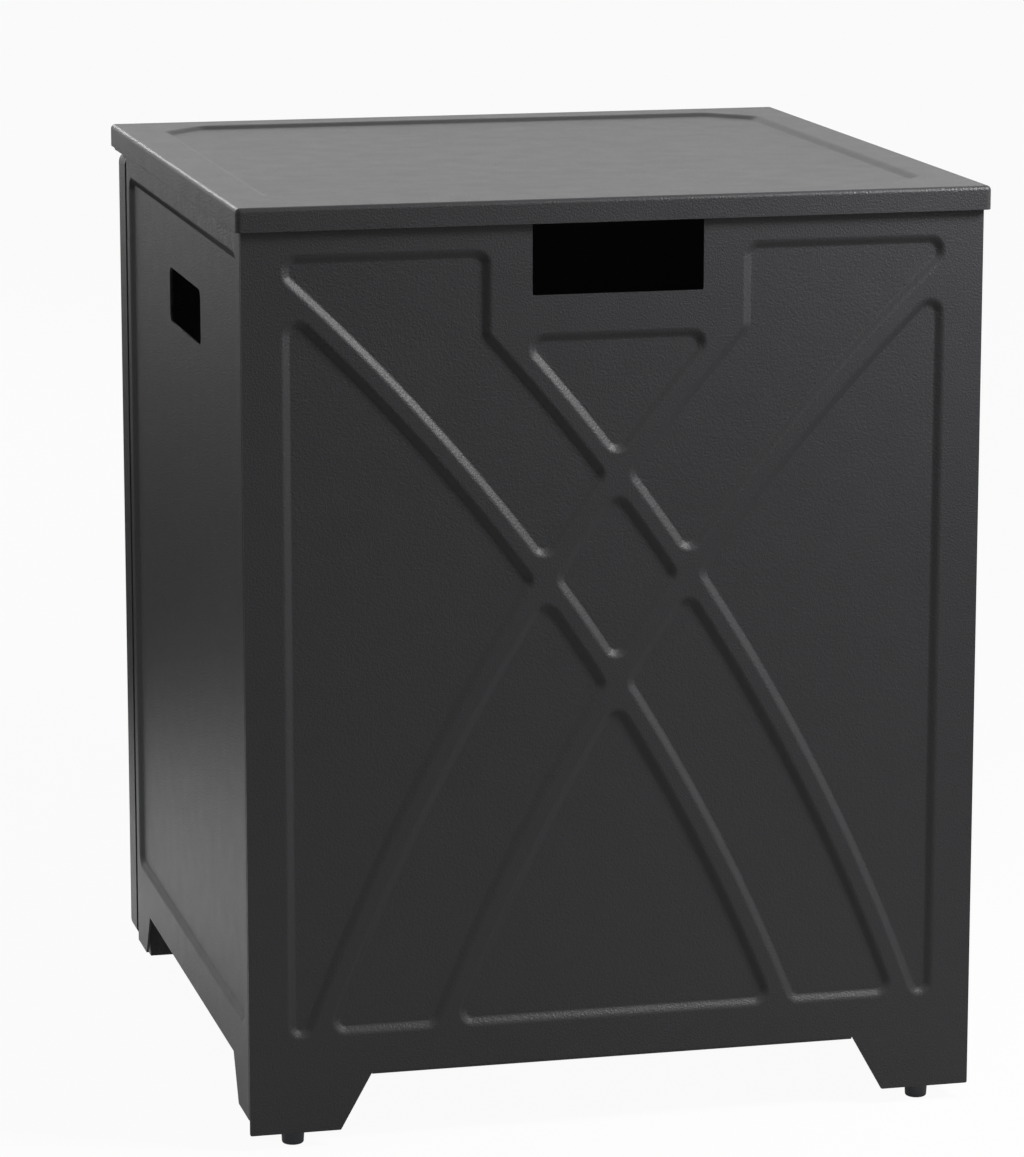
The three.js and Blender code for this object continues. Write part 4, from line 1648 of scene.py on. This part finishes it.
@dataclass
class RearDoor:
    """The door at the back: a pressed pan with a hand hole, on two hinge pins.

    Attributes:
        half: Half its width.
        face: How far behind the middle its face lies.
        bottom: How high it starts.
        top: How high it ends.
        depth: How deep its walls reach.
        sheet: The thickness of the sheet.
        edge: Its rounded edge.
        pressed_border: From its sides to the pressed field.
        pressed_ends: From its top and bottom to the field.
        pressed_radius: The radius of the field's corners.
        hand_width: The width of the upright hand hole.
        hand_height: The height of the hand hole.
        hand_radius: The radius of the hole's corners.
        hand_steps: How many chords each of these corners has.
        hand_inset: From the door's free side to the middle of the hole.
        hand_rise: How far above the door's middle the hole's middle lies.
        press: How the field is pressed.
        pin: Its hinge pins.
    """

    half: float = field(init=False)
    face: float = field(init=False)
    bottom: float = field(init=False)
    top: float = field(init=False)
    depth: float = field(init=False)
    sheet: float = 0.0012
    edge: RolledEdge = RolledEdge(0.0045, 0.0015, 8)
    pressed_border: float = 0.024
    pressed_ends: float = 0.021
    pressed_radius: float = 0.0065
    hand_width: float = 0.031
    hand_height: float = 0.098
    hand_radius: float = 0.005
    hand_steps: int = 6
    hand_inset: float = 0.046
    hand_rise: float = 0.005
    press: Press = Press()
    pin: Headed = Headed(0.0025, 0.004, 0.0018, threaded=False)

    def __post_init__(self) -> None:
        """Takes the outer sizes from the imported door."""
        low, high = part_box("rear_door")
        self.half, self.face, self.depth = high.x, high.y, high.y - low.y
        self.bottom, self.top = low.z, high.z

    def pan(self) -> bpy.types.Object:
        """Builds the pressed pan.

        Returns:
            The pan.
        """
        middle, half_height = (self.top + self.bottom) / 2, (self.top - self.bottom) / 2
        sheet = Sheet("door_pan", lambda u, v, h: Vector((-u, self.face + h, middle + v)))
        rim = sheet.pan(self.half, half_height, self.depth, self.edge)
        pressed = RoundBox(
            self.half - self.pressed_border, half_height - self.pressed_ends, self.pressed_radius
        )
        place = (self.half - self.hand_inset, self.hand_rise)
        hand = RoundBox(self.hand_width / 2, self.hand_height / 2, self.hand_radius, place, self.hand_steps)
        sheet.cover(rim, sheet.press(pressed.outline, self.press, [hand.outline()]))
        return sheet.piece(self.sheet)

    def build(self) -> None:
        """Builds the door and its pins."""
        settle(self.pan(), "door", Slot.PAINT, "rear_door")
        for name, way in (("door_pin_top", Way.UP), ("door_pin_bottom", Way.DOWN)):
            self.pin.stand_for(name, "cabinet", way)


@dataclass
class Feet:
    """The four screw-down feet in their brackets.

    Attributes:
        corners: The corners that they stand at.
        stud: The stud.
        stud_start: How high above the floor the stud starts.
        stud_top: How high it ends.
        clearance: The gap round the stud in the pad and the nut.
        nut_across: The distance between two flats of the nut.
        bracket_eased: How far the bracket's edges are eased.
        pad_radius: The pad's radius.
        pad_height: The pad's height.
        pad_taper: The pad's radius at the floor, as a share of that radius.
        pad_roll: The radius of its lower edge.
        pad_roll_steps: How many chords that edge has.
        pad_collar: How far below the top its taper ends.
        pad_bevel: How far its top edge is cut back, downwards and inwards.
        hollow: How far the middle of its underside is recessed.
        hollow_radii: The recess at its floor and its mouth, as shares of the radius at the floor.
        socket_floor: How high the stud's socket starts.
        socket_lead: How far the socket's mouth is opened, outwards and downwards.
        pad_eased: How far its edges are eased.
        pad_sides: How many sides it has.
    """

    corners: tuple[str, ...] = ("front_left", "front_right", "rear_left", "rear_right")
    stud: Threaded = Threaded(0.003, 0.001, 0.0004)
    stud_start: float = 0.0033
    stud_top: float = 0.036
    clearance: float = 0.0003
    nut_across: float = 0.01
    bracket_eased: float = 0.0004
    pad_radius: float = 0.00625
    pad_height: float = 0.008
    pad_taper: float = 0.95
    pad_roll: float = 0.0012
    pad_roll_steps: int = 5
    pad_collar: float = 0.0011
    pad_bevel: Pair = (0.0003, 0.0004)
    hollow: float = 0.0003
    hollow_radii: Pair = (0.55, 0.6)
    socket_floor: float = 0.003
    socket_lead: Pair = (0.0006, 0.0004)
    pad_eased: float = 0.0001
    pad_sides: int = 56

    def pad_profile(self) -> list[Point]:
        """Draws the pad, which narrows downwards and has a socket for the stud.

        Returns:
            The radius and height of each of its rings.
        """
        r, h, roll = self.pad_radius, self.pad_height, self.pad_roll
        low, socket = r * self.pad_taper, self.stud.radius + self.clearance
        angles = [QUARTER * k / self.pad_roll_steps for k in range(self.pad_roll_steps + 1)]
        return [
            (0.0, self.hollow), (low * self.hollow_radii[0], self.hollow), (low * self.hollow_radii[1], 0.0),
            *((low - roll * (1 - math.sin(a)), roll * (1 - math.cos(a))) for a in angles),
            (r, h - self.pad_collar), (r, h - self.pad_bevel[0]), (r - self.pad_bevel[1], h),
            (socket + self.socket_lead[0], h), (socket, h - self.socket_lead[1]),
            (socket, self.socket_floor), (0.0, self.socket_floor),
        ]

    def build(self) -> None:
        """Builds the pads, studs and nuts and dresses the brackets."""
        nut = HexNut(self.nut_across, self.stud.radius + self.clearance)
        for corner in self.corners:
            body = f"leveler_{corner}"
            foot, _ = span(f"leveler_pad_{corner}", Way.UP)
            pad = lathe(
                f"foot_pad_{corner}", self.pad_profile(), foot, Way.UP, self.pad_eased, self.pad_sides
            )
            settle(pad, body, Slot.PLASTIC, f"leveler_pad_{corner}")
            stud = self.stud.piece(f"foot_stud_{corner}", foot, Way.UP, self.stud_start, self.stud_top)
            settle(stud, body, Slot.ZINC, f"leveler_stud_{corner}")
            nut.stand_for(f"leveler_nut_{corner}", "cabinet", Way.UP)
            dress(f"foot_bracket_{corner}", Slot.PAINT, self.bracket_eased)


@dataclass
class Fittings:
    """The rails at the back, the magnet catch and every small screw and nut.

    Attributes:
        rail_eased: How far the rails' edges are eased.
        catch_eased: How far the catch's edges are eased.
        magnet_screw: The catch's screws.
        rail_screw: The rails' screws.
        panel_nut: The nuts on the front's studs.
        panel_stud: The studs that are welded to the front.
        panel_studs: How many of them each side has.
    """

    rail_eased: float = 0.0004
    catch_eased: float = 0.0008
    magnet_screw: Headed = Headed(0.0015, 0.003, 0.0018)
    rail_screw: Headed = Headed(0.002, 0.004, 0.0024)
    panel_nut: HexNut = HexNut(0.008, 0.0028)
    panel_stud: Threaded = Threaded(0.0025, 0.0008, 0.00025)
    panel_studs: int = 3

    def build(self) -> None:
        """Dresses the rails and the catch, and builds the fasteners."""
        for rail in ("rear_top_rail", "rear_bottom_rail"):
            dress(rail, Slot.PAINT, self.rail_eased)
        dress("magnet_catch", Slot.PLASTIC, self.catch_eased)
        for node in ("magnet_screw_1", "magnet_screw_2"):
            self.magnet_screw.stand_for(node, "cabinet", Way.FRONT)
        for side in ("left", "right"):
            for number in range(1, self.panel_studs + 1):
                self.panel_nut.stand_for(f"panel_nut_{side}_{number}", "cabinet", Way.BACK)
                node = f"panel_stud_{side}_{number}"
                foot, length = span(node, Way.BACK)
                stud = self.panel_stud.piece(f"{node}_threaded", foot, Way.BACK, 0.0, length)
                settle(stud, "cabinet", Slot.ZINC, node)
            for node in (f"top_rail_screw_{side}_1", f"top_rail_screw_{side}_2", f"bottom_rail_screw_{side}"):
                self.rail_screw.stand_for(node, "cabinet", Way.FRONT)


# Studio


@dataclass(frozen=True)
class SoftBox:
    """A large soft lamp.

    Attributes:
        name: Its name.
        place: Where it stands.
        aim: What it points at.
        width: Its width.
        height: Its height.
        watts: Its power.
    """

    name: str
    place: tuple[float, float, float]
    aim: tuple[float, float, float]
    width: float
    height: float
    watts: float

    def build(self) -> None:
        """Makes the lamp."""
        lamp = bpy.data.lights.new(self.name, "AREA")
        lamp.shape, lamp.size, lamp.size_y, lamp.energy = "RECTANGLE", self.width, self.height, self.watts
        made = bpy.data.objects.new(self.name, lamp)
        made.location = self.place
        made.rotation_euler = (Vector(self.aim) - Vector(self.place)).to_track_quat("-Z", "Y").to_euler()
        bpy.context.scene.collection.objects.link(made)


@dataclass
class Studio:
    """A pale floor with a painted reflection, a white surround and soft lamps.

    Attributes:
        floor_radius: How far the floor reaches.
        floor_sides: How many sides it has.
        floor_colour: The floor's paper.
        fibre_colour: The paper's palest fibres.
        fibres: How many fibres lie in a metre.
        fibre_cover: How far a fibre takes on its own colour.
        paper_roughness: How dull the paper is.
        paper_specular: How strongly it shines.
        lift: How far the floor is lifted to white where it is seen, which leaves the object's shadow.
        under: The distances from the middle between which the floor's reflection brightens out of its
            painted shadow under the object.
        shadow_under_share: How much of its white it has nearer than that, in this painted shadow.
        table: The distances between which its reflection then turns to a painted dark band, which stands for
            the dark of the studio.
        beyond: The distances between which it turns white again.
        before: The depths between which its reflection is fainter in front of the object, a painted shadow.
        front_shadow_share: How much of its white it has in that painted shadow.
        ambient: The strength of the surround where it is neither seen nor reflected.
        lamps: The lamps.
    """

    floor_radius: float = 14.0
    floor_sides: int = 64
    floor_colour: Colour = tone(238, 238, 238)
    fibre_colour: Colour = tone(246, 246, 246)
    fibres: float = 900.0
    fibre_cover: float = 0.2
    paper_roughness: float = 0.9
    paper_specular: float = 0.1
    lift: float = 0.95
    # The floor's reflection is painted: painted shadow under and in front of the object, and a painted dark
    # band
    under: Pair = (0.22, 0.38)
    shadow_under_share: float = 0.5
    table: Pair = (0.58, 1.0)
    beyond: Pair = (3.2, 4.0)
    before: Pair = (-0.3, 0.0)
    front_shadow_share: float = 0.6
    ambient: float = 0.07
    lamps: tuple[SoftBox, ...] = (
        SoftBox("key_soft_box", (0.52, -0.52, 0.86), (0.14, -0.15, 0.34), 0.24, 0.24, 8.4),
        SoftBox("right_soft_box", (1.7, -1.2, 0.45), (0.1, -0.15, 0.25), 0.6, 0.6, 3.0),
        SoftBox("left_soft_box", (-1.7, 0.2, 0.35), (-0.2, 0.0, 0.25), 0.6, 0.5, 0.8),
        SoftBox("back_soft_box", (-0.6, 2.7, 1.4), (0.0, 0.0, 0.5), 0.6, 0.6, 12.0),
        SoftBox("far_soft_box", (0.6, 2.6, 1.2), (0.0, 0.0, 0.45), 1.6, 0.8, 1.4),
    )

    def reflected(self, graph: Graph) -> Wire:
        """How much white the floor shows where a shiny surface reflects it.

        It is white near the object and white again far off. This reflection is painted: the floor glows for
        reflected rays. A painted shadow makes it less white in front of the object and close under it, and
        between near and far a painted dark band stands for the dark of the studio.

        Args:
            graph: The floor's nodes.

        Returns:
            The share of white.
        """
        place = graph.surface("Position")
        away = graph.add("ShaderNodeVectorMath", {"operation": "LENGTH"}, {0: place}, "Value")
        depth = graph.add("ShaderNodeSeparateXYZ", {}, {0: place}, "Y")
        # Painted shadow of the object in the reflection, in front of it and close under it
        rear = graph.rising(depth, *self.before) * (1 - self.front_shadow_share) + self.front_shadow_share
        clear = graph.rising(away, *self.under) * (1 - self.shadow_under_share) + self.shadow_under_share
        # A painted dark band, then white again far off
        near = (1 - graph.rising(away, *self.table)) * rear * clear
        return near.larger(graph.rising(away, *self.beyond))

    def paper(self, graph: Graph) -> Wire:
        """Makes the floor's paper with its fibres.

        Args:
            graph: The floor's nodes.

        Returns:
            The paper's shader.
        """
        fibres = graph.noise(self.fibres, 3.0) * self.fibre_cover
        sockets = {
            "Base Color": graph.blend(fibres, self.floor_colour, self.fibre_colour),
            "Roughness": self.paper_roughness,
            "Specular IOR Level": self.paper_specular,
        }
        return graph.add("ShaderNodeBsdfPrincipled", {}, sockets)

    def floor(self) -> None:
        """Makes the floor, which is all but white where it is seen and keeps the object's shadow."""
        mesh = bmesh.new()
        angles = [WHOLE_TURN * k / self.floor_sides for k in range(self.floor_sides)]
        rim = [(self.floor_radius * math.cos(a), self.floor_radius * math.sin(a), 0.0) for a in angles]
        mesh.faces.new([mesh.verts.new(place) for place in rim])
        made = linked("studio_floor", mesh)
        material = bpy.data.materials.new("studio_floor_paper")
        material.use_nodes = True
        graph = Graph(material.node_tree)
        white = graph.add("ShaderNodeEmission", {}, {"Color": WHITE, "Strength": 1.0})
        black = graph.add("ShaderNodeEmission", {}, {"Color": BLACK, "Strength": 0.0})
        shown = graph.ray("Is Camera Ray").larger(graph.ray("Is Transmission Ray")) * self.lift
        seen = graph.mixed(shown, self.paper(graph), white)
        # Shiny surfaces see a painted reflection that glows white or black by distance, instead of the lit
        # paper
        mirrored = graph.mixed(self.reflected(graph), black, white)
        surface = graph.mixed(graph.ray("Is Glossy Ray"), seen, mirrored)
        graph.add("ShaderNodeOutputMaterial", {}, {"Surface": surface})
        made.data.materials.append(material)
        made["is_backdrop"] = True

    def surround(self) -> None:
        """Makes the world: white where it is seen or reflected, and an even soft light elsewhere."""
        world = bpy.data.worlds.new("studio_surround")
        world.use_nodes = True
        graph = Graph(world.node_tree)
        direct = graph.ray("Is Camera Ray").larger(graph.ray("Is Glossy Ray"))
        shown = direct.larger(graph.ray("Is Transmission Ray"))
        sockets = {"Color": WHITE, "Strength": shown * (1 - self.ambient) + self.ambient}
        light = graph.add("ShaderNodeBackground", {}, sockets)
        graph.add("ShaderNodeOutputWorld", {}, {"Surface": light})
        bpy.context.scene.world = world

    def build(self) -> None:
        """Builds the studio."""
        self.floor()
        self.surround()
        for lamp in self.lamps:
            lamp.build()
        bpy.context.scene.view_settings.view_transform = "Standard"
        LOG.info("studio with %d lamps", len(self.lamps))


@dataclass
class Camera:
    """The camera where the photograph was taken.

    Attributes:
        place: Where it stands.
        azimuth: How far it looks towards +X from +Y, in degrees.
        elevation: How far it looks down, in degrees.
        focal_pixels: Its focal length in pixels of the photograph.
        nearest: The nearest distance that it shows.
        furthest: The furthest distance that it shows.
    """

    place: tuple[float, float, float] = (-0.6495, -2.6336, 0.8229)
    azimuth: float = 13.67
    elevation: float = 11.65
    focal_pixels: float = 4836.0
    nearest: float = 0.05
    furthest: float = 60.0

    def build(self) -> None:
        """Makes the camera and gives it to the scene."""
        data = bpy.data.cameras.new("photograph_view")
        data.sensor_width = SENSOR_WIDTH_MM
        data.lens = self.focal_pixels / max(PHOTO_WIDTH, PHOTO_HEIGHT) * SENSOR_WIDTH_MM
        data.clip_start, data.clip_end = self.nearest, self.furthest
        made = bpy.data.objects.new("photograph_view", data)
        made.location = self.place
        down, aside = math.radians(self.elevation), math.radians(self.azimuth)
        made.rotation_euler = Euler((QUARTER - down, 0.0, -aside))
        bpy.context.scene.collection.objects.link(made)
        bpy.context.scene.camera = made
        LOG.info("camera of %.0f mm", data.lens)


def corners(box: tuple[Vector, Vector]) -> list[list[float]]:
    """A box as plain lists."""
    return [list(corner) for corner in box]


def main() -> None:
    """Builds the object, the studio and the camera."""
    logging.basicConfig(level=logging.INFO, format="%(message)s")
    packed = corners(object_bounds())
    Camera().build()
    Lid().build()
    FrontPanel().build()
    SidePanel(-1).build()
    SidePanel(1).build()
    RearDoor().build()
    Feet().build()
    Fittings().build()
    Studio().build()
    {"cad": packed, "visual": corners(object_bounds())}


if __name__ == "__main__":
    main()
